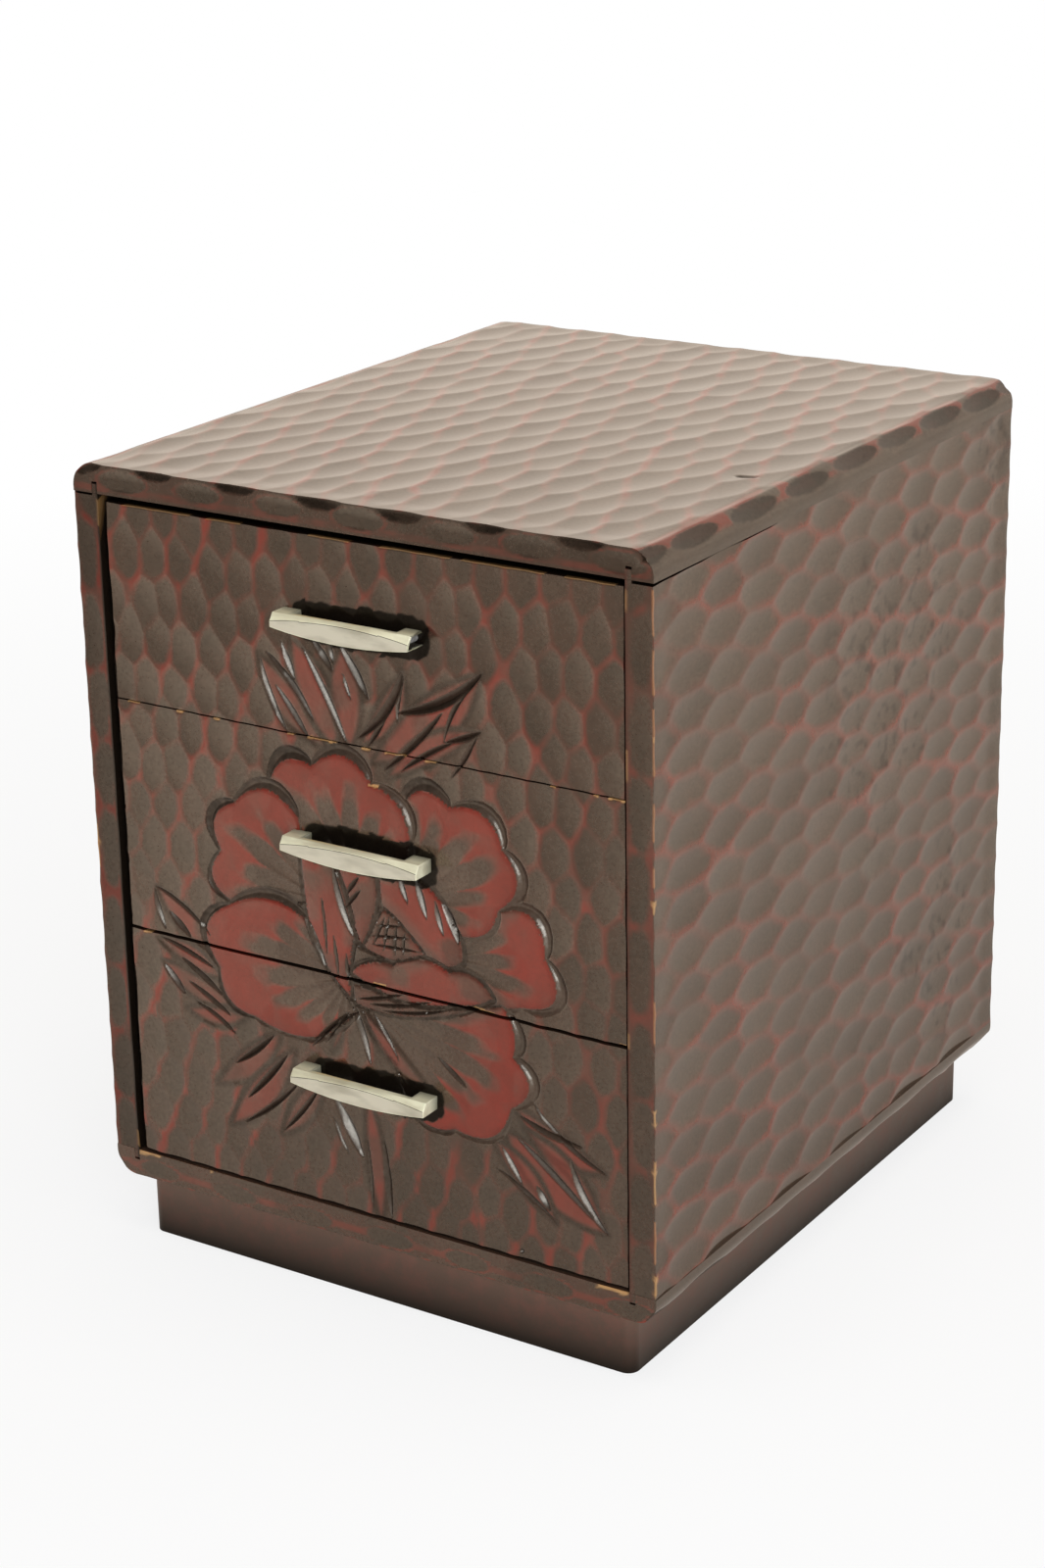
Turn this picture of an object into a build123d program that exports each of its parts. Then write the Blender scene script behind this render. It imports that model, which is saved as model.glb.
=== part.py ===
from build123d import *
import os

# A small table cabinet of lacquered wood: a board carcass on a low plinth, with three drawers
# that slide out of the front. The origin lies on the floor, under the middle of the overall box,
# which reaches from the pulls to the rear edges of the boards.
# The front looks along -Y, +X is on the right seen from the front, and +Z is up.

# Carcass boards
carcass_width = 160.0
carcass_depth = 181.8
opening_height = 172.6
board_thickness = 7.3
side_thickness = 7.2
long_edge_radius = 6.0

# Tongues along the upper and lower ends of the side boards
tongue_width = 1.6
tongue_length = 2.3
tongue_groove_depth = 2.9

# Back panel, captive in grooves
back_panel_thickness = 4.0
back_panel_inset = 4.0
panel_groove_depth = 3.0
panel_end_play = 0.3

# Dust boards between the drawers, housed in the side boards
dust_board_thickness = 4.0
dust_housing_depth = 2.4
dust_front_gap = 0.5

# Plinth under the bottom board
plinth_height = 16.4
plinth_side_inset = 8.2
plinth_end_inset = 2.9
plinth_board_thickness = 8.0
plinth_corner_radius = 3.0
corner_block_leg = 12.0
corner_block_lift = 3.0

# Drawer fronts in the opening, and the gaps that show round them
lower_front_height = 60.8
middle_front_height = 59.1
front_thickness = 10.0
front_setback = 0.6
front_side_gap = 0.9
top_gap = 2.0
upper_gap = 0.4
lower_gap = 0.9
bottom_gap = 0.7

# Drawer boxes behind the fronts
drawer_side_thickness = 5.0
drawer_back_thickness = 5.0
drawer_bottom_thickness = 3.0
front_lap_thickness = 4.0
bottom_groove_depth = 2.5
bottom_groove_height = 4.0
back_housing_depth = 2.0
back_housing_setback = 6.0
running_gap = 0.3
head_gap = 1.2
drawer_rear_gap = 0.6

# Pulls: a bar on two legs, straight above and bowed below, with a lens-shaped front facet
upper_handle_share = 0.594
middle_handle_share = 0.565
lower_handle_share = 0.572
handle_length = 39.0
handle_gap = 3.1
bar_thickness = 2.6
bar_end_height = 3.4
bar_bow = 1.6
facet_depth = 1.3
facet_end_height = 1.5
facet_top_margin = 0.2
leg_width = 5.0

# Screws that hold the pulls from inside the drawers
screw_diameter = 2.0
screw_hole_play = 0.1
screw_reach = 3.4
screw_hole_spare = 0.4
screw_head_diameter = 4.2
screw_head_height = 1.5
screw_head_round = 0.6
screw_slot_width = 0.7
screw_slot_depth = 0.7

# Length by which every cut runs past the faces that it opens
overrun = 5.0

# Levels and planes that the pieces share
floor_z = plinth_height + board_thickness
ceiling_z = floor_z + opening_height
top_z = ceiling_z + board_thickness
carcass_half = carcass_width / 2
opening_half = carcass_half - side_thickness
pull_projection = handle_gap + bar_thickness - front_setback
rear_y = (carcass_depth + pull_projection) / 2
front_y = rear_y - carcass_depth
panel_rear_y = rear_y - back_panel_inset
panel_front_y = panel_rear_y - back_panel_thickness
panel_reach = panel_groove_depth - panel_end_play

drawer_half = opening_half - front_side_gap
drawer_face_y = front_y + front_setback
drawer_inner_y = drawer_face_y + front_thickness
drawer_rear_y = panel_front_y - drawer_rear_gap
dust_front_y = drawer_inner_y + dust_front_gap

lower_front_low = floor_z + bottom_gap
lower_front_high = lower_front_low + lower_front_height
middle_front_low = lower_front_high + lower_gap
middle_front_high = middle_front_low + middle_front_height
upper_front_low = middle_front_high + upper_gap
upper_front_high = ceiling_z - top_gap

lower_dust_low = lower_front_high + lower_gap / 2 - dust_board_thickness / 2
upper_dust_low = middle_front_high + upper_gap / 2 - dust_board_thickness / 2
leg_center_x = handle_length / 2 - leg_width / 2

os.makedirs("parts", exist_ok=True)


def block(low, high, mode=Mode.ADD):
    """A square-edged block between two corners."""
    center = Vector(*[(a + b) / 2 for a, b in zip(low, high)])
    with Locations(center):
        Box(*[b - a for a, b in zip(low, high)], mode=mode)


def save(builder, name):
    """Label a finished piece and write it under its own name."""
    builder.part.label = name
    export_step(builder.part, f"parts/{name}.step")


def looking_out(y, z):
    """Plane that faces the front of the cabinet, centred at depth y and height z."""
    return Plane((0, y, z), x_dir=(1, 0, 0), z_dir=(0, -1, 0))


# Top and bottom boards
def carcass_board(name, low, high, inner_z, into_board):
    """Board across the full width, grooved on its inner face for the sides and the back panel."""
    tongue_floor = inner_z + into_board * tongue_groove_depth
    panel_floor = inner_z + into_board * panel_groove_depth
    mouth = inner_z - into_board * overrun
    panel_half = opening_half + panel_groove_depth
    with BuildPart() as board:
        block((-carcass_half, front_y, low), (carcass_half, rear_y, high))
        outer_edges = board.edges().filter_by(Axis.Y).group_by(Axis.Z)[-1 if into_board > 0 else 0]
        fillet(outer_edges, radius=long_edge_radius)
        for side in (-1, 1):
            near = side * opening_half
            far = side * (opening_half + tongue_width)
            block(
                (min(near, far), front_y - overrun, min(mouth, tongue_floor)),
                (max(near, far), rear_y + overrun, max(mouth, tongue_floor)),
                mode=Mode.SUBTRACT,
            )
        block(
            (-panel_half, panel_front_y, min(mouth, panel_floor)),
            (panel_half, panel_rear_y, max(mouth, panel_floor)),
            mode=Mode.SUBTRACT,
        )
    save(board, name)


carcass_board("top_board", ceiling_z, top_z, ceiling_z, 1)
carcass_board("bottom_board", plinth_height, floor_z, floor_z, -1)


# Side boards
def side_board(name, side):
    """Upright side with a tongue at each end, a groove for the back panel and two housings."""
    inner = side * opening_half
    outer = side * carcass_half
    tongue = side * (opening_half + tongue_width)
    groove = side * (opening_half + panel_groove_depth)
    housing = side * (opening_half + dust_housing_depth)
    mouth = inner - side * overrun
    with BuildPart() as board:
        block(
            (min(inner, outer), front_y, floor_z),
            (max(inner, outer), rear_y, ceiling_z),
        )
        block(
            (min(inner, tongue), front_y, floor_z - tongue_length),
            (max(inner, tongue), rear_y, ceiling_z + tongue_length),
        )
        block(
            (min(mouth, groove), panel_front_y, floor_z - tongue_length - overrun),
            (max(mouth, groove), panel_rear_y, ceiling_z + tongue_length + overrun),
            mode=Mode.SUBTRACT,
        )
        for low in (lower_dust_low, upper_dust_low):
            block(
                (min(mouth, housing), dust_front_y, low),
                (max(mouth, housing), panel_front_y, low + dust_board_thickness),
                mode=Mode.SUBTRACT,
            )
    save(board, name)


side_board("left_side", -1)
side_board("right_side", 1)

# Back panel in the grooves of all four boards
with BuildPart() as back_panel:
    block(
        (-opening_half - panel_reach, panel_front_y, floor_z - panel_reach),
        (opening_half + panel_reach, panel_rear_y, ceiling_z + panel_reach),
    )
save(back_panel, "back_panel")


# Dust boards that the middle and upper drawers run on
def dust_board(name, low):
    """Thin shelf behind the drawer fronts, with its ends in the housings of the sides."""
    reach = opening_half + dust_housing_depth - panel_end_play
    with BuildPart() as shelf:
        block(
            (-reach, dust_front_y, low),
            (reach, panel_front_y, low + dust_board_thickness),
        )
    save(shelf, name)


dust_board("lower_dust_board", lower_dust_low)
dust_board("upper_dust_board", upper_dust_low)

# Plinth frame: front and back boards cap the ends of the side boards
plinth_half = carcass_half - plinth_side_inset
plinth_front_y = front_y + plinth_end_inset
plinth_rear_y = rear_y - plinth_end_inset
plinth_inner_half = plinth_half - plinth_board_thickness
plinth_inner_front_y = plinth_front_y + plinth_board_thickness
plinth_inner_rear_y = plinth_rear_y - plinth_board_thickness


def plinth_cap(name, near_y, far_y, outermost):
    """Board across the front or back of the plinth, with rounded outer corners."""
    with BuildPart() as board:
        block((-plinth_half, near_y, 0), (plinth_half, far_y, plinth_height))
        corners = board.edges().filter_by(Axis.Z).group_by(Axis.Y)[outermost]
        fillet(corners, radius=plinth_corner_radius)
    save(board, name)


plinth_cap("plinth_front", plinth_front_y, plinth_inner_front_y, 0)
plinth_cap("plinth_back", plinth_inner_rear_y, plinth_rear_y, -1)

for name, side in (("plinth_left", -1), ("plinth_right", 1)):
    edges_x = sorted((side * plinth_inner_half, side * plinth_half))
    with BuildPart() as plinth_side:
        block(
            (edges_x[0], plinth_inner_front_y, 0),
            (edges_x[1], plinth_inner_rear_y, plinth_height),
        )
    save(plinth_side, name)

# Glue blocks in the four inner corners of the plinth, against the bottom board
with BuildPart() as plinth_blocks:
    with BuildSketch(Plane.XY.offset(corner_block_lift)):
        for side in (-1, 1):
            for corner_y, inward in ((plinth_inner_front_y, 1), (plinth_inner_rear_y, -1)):
                corner_x = side * plinth_inner_half
                with BuildLine():
                    Polyline(
                        (corner_x, corner_y),
                        (corner_x - side * corner_block_leg, corner_y),
                        (corner_x, corner_y + inward * corner_block_leg),
                        close=True,
                    )
                make_face()
    extrude(amount=plinth_height - corner_block_lift)
save(plinth_blocks, "plinth_blocks")


# Drawers
def drawer_front(name, low, high, box_low, handle_z):
    """Front that laps over the box sides, with the screw holes of its pull."""
    side_inner = drawer_half - drawer_side_thickness
    lap_y = drawer_face_y + front_lap_thickness
    groove_low = box_low + bottom_groove_height
    with BuildPart() as front:
        block((-drawer_half, drawer_face_y, low), (drawer_half, drawer_inner_y, high))
        for near, far in ((-drawer_half - overrun, -side_inner), (side_inner, drawer_half + overrun)):
            block(
                (near, lap_y, low - overrun),
                (far, drawer_inner_y + overrun, high + overrun),
                mode=Mode.SUBTRACT,
            )
        block(
            (-drawer_half, drawer_inner_y - bottom_groove_depth, groove_low),
            (drawer_half, drawer_inner_y + overrun, groove_low + drawer_bottom_thickness),
            mode=Mode.SUBTRACT,
        )
        with BuildSketch(looking_out(drawer_face_y, handle_z)):
            with Locations((-leg_center_x, 0), (leg_center_x, 0)):
                Circle((screw_diameter + screw_hole_play) / 2)
        extrude(amount=-front_thickness, mode=Mode.SUBTRACT)
    save(front, name)


def drawer_side(name, side, box_low, box_high):
    """Box side, lapped by the front, grooved for the bottom and housed for the back."""
    outer = side * drawer_half
    inner = side * (drawer_half - drawer_side_thickness)
    groove = inner + side * bottom_groove_depth
    housing = inner + side * back_housing_depth
    mouth = inner - side * overrun
    start_y = drawer_face_y + front_lap_thickness
    back_y = drawer_rear_y - back_housing_setback - drawer_back_thickness
    groove_low = box_low + bottom_groove_height
    groove_end_y = back_y + bottom_groove_depth
    with BuildPart() as board:
        block(
            (min(outer, inner), start_y, box_low),
            (max(outer, inner), drawer_rear_y, box_high),
        )
        block(
            (min(mouth, groove), start_y - overrun, groove_low),
            (max(mouth, groove), groove_end_y, groove_low + drawer_bottom_thickness),
            mode=Mode.SUBTRACT,
        )
        block(
            (min(mouth, housing), back_y, box_low - overrun),
            (max(mouth, housing), back_y + drawer_back_thickness, box_high + overrun),
            mode=Mode.SUBTRACT,
        )
    save(board, name)


def drawer_back(name, box_low, box_high):
    """Box back between the sides, with its ends in their housings."""
    reach = drawer_half - drawer_side_thickness + back_housing_depth
    far_y = drawer_rear_y - back_housing_setback
    near_y = far_y - drawer_back_thickness
    groove_low = box_low + bottom_groove_height
    with BuildPart() as board:
        block((-reach, near_y, box_low), (reach, far_y, box_high))
        block(
            (-reach - overrun, near_y - overrun, groove_low),
            (reach + overrun, near_y + bottom_groove_depth, groove_low + drawer_bottom_thickness),
            mode=Mode.SUBTRACT,
        )
    save(board, name)


def drawer_bottom(name, box_low):
    """Thin bottom panel, captive in grooves on all four sides."""
    reach = bottom_groove_depth - panel_end_play
    half = drawer_half - drawer_side_thickness + reach
    back_y = drawer_rear_y - back_housing_setback - drawer_back_thickness
    low = box_low + bottom_groove_height
    with BuildPart() as panel:
        block(
            (-half, drawer_inner_y - reach, low),
            (half, back_y + reach, low + drawer_bottom_thickness),
        )
    save(panel, name)


def handle(name, handle_z):
    """Pull whose front facet is a lens, tallest in the middle, on two square legs."""
    bar_back_y = drawer_face_y - handle_gap
    bar_front_y = bar_back_y - bar_thickness
    half = handle_length / 2
    top = bar_end_height / 2
    bottom = -top - bar_bow
    facet_end = facet_end_height - top
    facet_top = top - facet_top_margin
    with BuildPart() as pull:
        for y in (bar_back_y, bar_front_y + facet_depth, bar_front_y):
            with BuildSketch(looking_out(y, handle_z)):
                with BuildLine():
                    if y > bar_front_y:
                        Line((-half, top), (half, top))
                        Line((half, top), (half, -top))
                    else:
                        ThreePointArc((-half, facet_end), (0, facet_top), (half, facet_end))
                        Line((half, facet_end), (half, -top))
                    ThreePointArc((half, -top), (0, bottom), (-half, -top))
                    Line((-half, -top), (-half, top if y > bar_front_y else facet_end))
                make_face()
        loft(ruled=True)
        with BuildSketch(looking_out(drawer_face_y, handle_z)):
            with Locations((-leg_center_x, 0), (leg_center_x, 0)):
                Rectangle(leg_width, bar_end_height)
        extrude(amount=handle_gap)
        with BuildSketch(looking_out(drawer_face_y, handle_z)):
            with Locations((-leg_center_x, 0), (leg_center_x, 0)):
                Circle((screw_diameter + screw_hole_play) / 2)
        extrude(amount=screw_reach + screw_hole_spare, mode=Mode.SUBTRACT)
    save(pull, name)


def handle_screws(name, handle_z):
    """Pair of slotted screws, with their heads on the inner face of the drawer front."""
    centers = ((-leg_center_x, 0), (leg_center_x, 0))
    head_y = drawer_inner_y + screw_head_height
    with BuildPart() as screws:
        with BuildSketch(looking_out(drawer_inner_y, handle_z)):
            with Locations(*centers):
                Circle(screw_head_diameter / 2)
        extrude(amount=-screw_head_height)
        fillet(screws.edges().group_by(Axis.Y)[-1], radius=screw_head_round)
        with BuildSketch(looking_out(drawer_inner_y, handle_z)):
            with Locations(*centers):
                Circle(screw_diameter / 2)
        extrude(amount=front_thickness + screw_reach)
        with BuildSketch(looking_out(head_y, handle_z)):
            with Locations(*centers):
                Rectangle(screw_head_diameter, screw_slot_width)
        extrude(amount=screw_slot_depth, mode=Mode.SUBTRACT)
    save(screws, name)


# Each drawer: its name, the span of its front, the level it runs on, the level above it, and how
# far up its front the pull sits
upper_runs_on = upper_dust_low + dust_board_thickness
middle_runs_on = lower_dust_low + dust_board_thickness
drawers = (
    ("upper", upper_front_low, upper_front_high, upper_runs_on, ceiling_z, upper_handle_share),
    ("middle", middle_front_low, middle_front_high, middle_runs_on, upper_dust_low, middle_handle_share),
    ("lower", lower_front_low, lower_front_high, floor_z, lower_dust_low, lower_handle_share),
)
for name, front_low, front_high, runs_on, under, handle_share in drawers:
    box_low = runs_on + running_gap
    box_high = min(front_high, under) - head_gap
    handle_z = front_low + handle_share * (front_high - front_low)
    drawer_front(f"{name}_drawer_front", front_low, front_high, box_low, handle_z)
    drawer_side(f"{name}_drawer_left_side", -1, box_low, box_high)
    drawer_side(f"{name}_drawer_right_side", 1, box_low, box_high)
    drawer_back(f"{name}_drawer_back", box_low, box_high)
    drawer_bottom(f"{name}_drawer_bottom", box_low)
    handle(f"{name}_handle", handle_z)
    handle_screws(f"{name}_handle_screws", handle_z)
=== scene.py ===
# %% [markdown]
# A small table cabinet in carved lacquer: a board carcass on a low plinth, three drawers with
# white-metal pulls, and a peony carved across the drawer fronts on a ground of gouge cuts. The
# solids come from the frame. This lesson dresses them: the carved boards are modelled again as
# fine meshes whose relief is real geometry, and every finish is a node material.

import math

import bmesh
import bpy
import numpy as np
from mathutils import Matrix, Vector


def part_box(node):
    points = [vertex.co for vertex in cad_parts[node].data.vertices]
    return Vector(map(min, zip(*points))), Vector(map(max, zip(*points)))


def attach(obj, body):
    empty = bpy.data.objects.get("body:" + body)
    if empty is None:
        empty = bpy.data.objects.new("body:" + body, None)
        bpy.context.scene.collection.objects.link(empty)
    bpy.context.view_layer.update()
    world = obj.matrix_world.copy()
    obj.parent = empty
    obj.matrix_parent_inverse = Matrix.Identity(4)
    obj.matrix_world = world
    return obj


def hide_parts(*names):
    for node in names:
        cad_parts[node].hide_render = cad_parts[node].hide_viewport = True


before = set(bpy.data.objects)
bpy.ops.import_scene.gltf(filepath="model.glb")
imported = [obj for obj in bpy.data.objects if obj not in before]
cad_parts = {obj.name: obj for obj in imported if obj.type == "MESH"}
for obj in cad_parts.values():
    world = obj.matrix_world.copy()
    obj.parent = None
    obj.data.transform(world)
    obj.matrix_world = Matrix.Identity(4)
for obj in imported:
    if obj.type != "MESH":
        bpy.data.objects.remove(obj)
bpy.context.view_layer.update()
MM = 0.001

# %% [markdown]
# The camera repeats the photograph's view: a long lens, a little above the cabinet and to its
# right. The picture is 1066 by 1600 pixels, and a focal length in pixels becomes a lens in
# millimetres because the sensor's 36 mm lie along the picture's long side.

# %% Camera at the photograph's view
PICTURE_LONG_SIDE = 1600
SENSOR_LONG_SIDE = 36.0
FOCAL_PIXELS = 3296.2
VIEW_AZIMUTH = math.radians(32.98)
VIEW_ELEVATION = math.radians(20.08)
VIEW_ROLL = math.radians(-1.06)
VIEW_DISTANCE = 837.9 * MM
board_low, board_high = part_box("top_board")
VIEW_TARGET = Vector((-13.2 * MM, (board_low.y + board_high.y) / 2, 105.1 * MM))

level = math.cos(VIEW_ELEVATION)
backward = Vector(
    (math.sin(VIEW_AZIMUTH) * level, -math.cos(VIEW_AZIMUTH) * level, math.sin(VIEW_ELEVATION))
)
rightward = (-backward).cross(Vector((0, 0, 1))).normalized()
upward = rightward.cross(-backward)
rolled_right = math.cos(VIEW_ROLL) * rightward + math.sin(VIEW_ROLL) * upward
rolled_up = math.cos(VIEW_ROLL) * upward - math.sin(VIEW_ROLL) * rightward
camera_data = bpy.data.cameras.new("camera")
camera_data.sensor_width = SENSOR_LONG_SIDE
camera_data.lens = FOCAL_PIXELS / PICTURE_LONG_SIDE * SENSOR_LONG_SIDE
camera = bpy.data.objects.new("camera", camera_data)
turn = Matrix((rolled_right, rolled_up, backward)).transposed().to_4x4()
camera.matrix_world = Matrix.Translation(VIEW_TARGET + backward * VIEW_DISTANCE) @ turn
bpy.context.scene.collection.objects.link(camera)
bpy.context.scene.camera = camera
print("lens in mm:", round(camera_data.lens, 2))

# %% [markdown]
# Materials are built from nodes by two small helpers: one makes a node and sets its sockets, the
# other starts a material with a Principled shader. The nodes could be placed by hand in the editor,
# but a function shows each finish in a few lines.


# %% Node helpers
def add_node(tree, kind, settings=None, **sockets):
    """Make a node; a socket's value is either a constant or another node's output to link."""
    made = tree.nodes.new(kind)
    for key, value in (settings or {}).items():
        setattr(made, key, value)
    for key, value in sockets.items():
        numbered = key[0] == "i" and key[1:].isdigit()
        socket = made.inputs[int(key[1:]) if numbered else key.replace("_", " ")]
        if isinstance(value, bpy.types.NodeSocket):
            tree.links.new(value, socket)
        else:
            socket.default_value = value
    return made


def start_material(name):
    """A material with a Principled shader wired to its output."""
    material = bpy.data.materials.new(name)
    material.use_nodes = True
    tree = material.node_tree
    shader = tree.nodes["Principled BSDF"]
    return material, tree, shader


# %% [markdown]
# Four more helpers give most of what the finishes need: noise, a straight-line change of a value, a
# mix of two colours, and arithmetic. Every pattern reads Object coordinates or the piece's own
# attributes, so that it stays put when a drawer slides.


# %% Noise, ramps and mixes
def noise(tree, scale, detail=3.0, roughness=0.5, stretch=(1, 1, 1), seed=0.0):
    """Noise on Object coordinates, with a stretch along the axes."""
    place = add_node(tree, "ShaderNodeTexCoord").outputs["Object"]
    mapped = add_node(tree, "ShaderNodeMapping", Vector=place, Scale=stretch, Location=(seed, seed, seed))
    made = add_node(
        tree, "ShaderNodeTexNoise",
        Vector=mapped.outputs["Vector"], Scale=scale, Detail=detail, Roughness=roughness,
    )
    return made.outputs["Fac"]


def ramp(tree, value, low, high, to_low=0.0, to_high=1.0):
    """Straight-line change of a value between two limits, held outside them."""
    made = add_node(
        tree, "ShaderNodeMapRange",
        Value=value, From_Min=low, From_Max=high, To_Min=to_low, To_Max=to_high,
    )
    return made.outputs["Result"]


def blend_colors(tree, share, first, second):
    """Mix of two colours, each a constant or a link."""
    made = add_node(tree, "ShaderNodeMix", {"data_type": "RGBA"}, i0=share, i6=first, i7=second)
    return made.outputs[2]


def combine(tree, operation, first, second):
    """Arithmetic on two values."""
    return add_node(tree, "ShaderNodeMath", {"operation": operation}, i0=first, i1=second).outputs[0]


# %% [markdown]
# The cabinet is lit like a small photo table. An upright lamp on the right of the camera runs bright
# lines along the V-shaped cuts that face it, one hangs above, and a weak broad one behind gives the
# top its sheen. Suns or points would light it too, but an area lamp has a size, so that its image in
# the lacquer is a soft stripe and not a dot.

# %% Lamps
LAMP_AIM = Vector((0, -0.05, 0.12))
LAMPS = {
    "window_lamp": {
        "place": Vector((0.82, -0.87, 0.4)), "width": 0.45, "height": 0.65,
        "power": 9.0, "tint": (0.84, 0.91, 1.0),
    },
    "top_lamp": {
        "place": Vector((0.2, -0.1, 1.5)), "width": 0.9, "height": 0.9,
        "power": 9.0, "tint": (1.0, 0.94, 0.86),
    },
    "rear_lamp": {
        "place": Vector((-0.8, 1.2, 0.7)), "width": 1.2, "height": 0.8,
        "power": 1.0, "tint": (1.0, 0.88, 0.75),
    },
}

for name, lamp in LAMPS.items():
    lamp_data = bpy.data.lights.new(name, "AREA")
    lamp_data.shape = "RECTANGLE"
    lamp_data.size = lamp["width"]
    lamp_data.size_y = lamp["height"]
    lamp_data.energy = lamp["power"]
    lamp_data.color = lamp["tint"]
    made = bpy.data.objects.new(name, lamp_data)
    made.location = lamp["place"]
    made.rotation_euler = (LAMP_AIM - lamp["place"]).to_track_quat("-Z", "Y").to_euler()
    bpy.context.scene.collection.objects.link(made)
print("lamps:", len(LAMPS))

# %% [markdown]
# Lacquer is nearly black by itself: its brown-grey look is the white table and background seen in
# it. So the surround is plain white to the camera, a warmer white to a reflection, and a weaker even
# light to all other rays; one strength for all of them would wash out the dark coat. Behind the
# camera the room is dim to reflections, so that cuts that face up and forward stay dark.

# %% White surround
MIRRORED_WHITE = (1.0, 0.87, 0.75, 1)
SURROUND_LIGHT = 0.4
ROOM_DIM = 0.25
DIM_HEADING = -0.1
BRIGHT_HEADING = 0.35


def ray_kinds(tree):
    """Two values: 1 for a ray of the camera or a transmission, and 1 for a reflection."""
    rays = add_node(tree, "ShaderNodeLightPath").outputs
    direct = combine(tree, "MAXIMUM", rays["Is Camera Ray"], rays["Is Transmission Ray"])
    return direct, rays["Is Glossy Ray"]


world = bpy.data.worlds.new("surround")
bpy.context.scene.world = world
world.use_nodes = True
sky = world.node_tree
surround = sky.nodes["Background"]
direct, mirrored = ray_kinds(sky)
sky.links.new(blend_colors(sky, mirrored, (1, 1, 1, 1), MIRRORED_WHITE), surround.inputs["Color"])
heading = add_node(sky, "ShaderNodeTexCoord").outputs["Generated"]
rearward = add_node(sky, "ShaderNodeSeparateXYZ", Vector=heading).outputs["Y"]
room = ramp(sky, rearward, DIM_HEADING, BRIGHT_HEADING, ROOM_DIM, 1.0)
mirrored_white = combine(sky, "MULTIPLY", mirrored, room)
lighting = ramp(sky, combine(sky, "MAXIMUM", direct, mirrored), 0.0, 1.0, SURROUND_LIGHT, 0.0)
shown_white = combine(sky, "MAXIMUM", direct, mirrored_white)
sky.links.new(combine(sky, "MAXIMUM", shown_white, lighting), surround.inputs["Strength"])
bpy.context.scene.view_settings.view_transform = "Standard"
print("nodes of the surround:", len(sky.nodes))

# %% [markdown]
# The floor is one wide white sheet. Near the cabinet a part of it is an ordinary matt surface, which
# keeps the shadow, and further out it fades into the background's white. To reflections it has a
# bright pool on the left and a bright stretch on the right, and is dimmer between them. This shades
# the drawer fronts and the side as light from two windows would, without a picture of a room.

# %% White floor
FLOOR_HALF = 9.0
FADE_START = 0.2
FADE_END = 0.75
FLOOR_WHITE_SHARE = 0.8
POOL_CENTER = (-0.35, -0.25, 0)
POOL_START = 0.15
POOL_END = 0.34
POOL_LOW = 0.54
RIGHT_START = 0.05
RIGHT_END = 0.2
POOL_RIGHT = 0.87


def white_floor():
    """White sheet that shows its shadow near the cabinet, with its own brightness in reflections."""
    material, tree, shader = start_material("white_floor")
    shader.inputs["Base Color"].default_value = (0.9, 0.9, 0.9, 1)
    shader.inputs["Roughness"].default_value = 0.9
    shader.inputs["Specular IOR Level"].default_value = 0.1
    place = add_node(tree, "ShaderNodeTexCoord").outputs["Object"]
    away = add_node(tree, "ShaderNodeVectorMath", {"operation": "LENGTH"}, i0=place).outputs["Value"]
    fade = ramp(tree, away, FADE_START, FADE_END, FLOOR_WHITE_SHARE, 1.0)
    direct, mirrored = ray_kinds(tree)
    fade = combine(tree, "MULTIPLY", fade, combine(tree, "MAXIMUM", direct, mirrored))
    white = blend_colors(tree, mirrored, (1, 1, 1, 1), MIRRORED_WHITE)
    to_pool = add_node(tree, "ShaderNodeVectorMath", {"operation": "DISTANCE"}, i0=place, i1=POOL_CENTER)
    to_right = add_node(tree, "ShaderNodeSeparateXYZ", Vector=place).outputs["X"]
    pool = ramp(tree, to_pool.outputs["Value"], POOL_START, POOL_END, 1.0, POOL_LOW)
    stretch = ramp(tree, to_right, RIGHT_START, RIGHT_END, POOL_LOW, POOL_RIGHT)
    strength = combine(tree, "MAXIMUM", direct, combine(tree, "MAXIMUM", pool, stretch))
    glow = add_node(tree, "ShaderNodeEmission", Color=white, Strength=strength).outputs[0]
    faded = add_node(tree, "ShaderNodeMixShader", i0=fade, i1=shader.outputs[0], i2=glow).outputs[0]
    tree.links.new(faded, tree.nodes["Material Output"].inputs["Surface"])
    return material


sheet = bmesh.new()
bmesh.ops.create_grid(sheet, x_segments=1, y_segments=1, size=FLOOR_HALF)
floor_mesh = bpy.data.meshes.new("floor")
sheet.to_mesh(floor_mesh)
sheet.free()
floor_mesh.materials.append(white_floor())
floor = bpy.data.objects.new("floor", floor_mesh)
bpy.context.scene.collection.objects.link(floor)
print("floor width in m:", 2 * FLOOR_HALF)

# %% [markdown]
# Carving is worked out as a height in millimetres at every point of a fine mesh, with numpy. Two
# helpers come first: a smooth step from 0 to 1, and a cloud of smooth random values that gives
# wear and unevenness. The random numbers are seeded, so that each run carves the same cabinet.


# %% Smooth steps and clouds
def ease(start, end, value):
    """Smooth step from 0 at start to 1 at end; start may be the larger one."""
    t = np.clip((value - start) / (end - start), 0.0, 1.0)
    return t * t * (3 - 2 * t)


def cloud(u, v, size, seed):
    """Smooth random values from 0 to 1 on a plane, with lumps of about the given size."""
    columns = np.floor(u / size).astype(int)
    rows = np.floor(v / size).astype(int)
    first_column = columns.min()
    first_row = rows.min()
    shape = (np.ptp(columns) + 2, np.ptp(rows) + 2)
    values = np.random.default_rng(seed).random(shape)
    i = columns - first_column
    j = rows - first_row
    fu = ease(0.0, 1.0, u / size - columns)
    fv = ease(0.0, 1.0, v / size - rows)
    near = values[i, j] * (1 - fu) + values[i + 1, j] * fu
    far = values[i, j + 1] * (1 - fu) + values[i + 1, j + 1] * fu
    return near * (1 - fv) + far * fv


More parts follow.
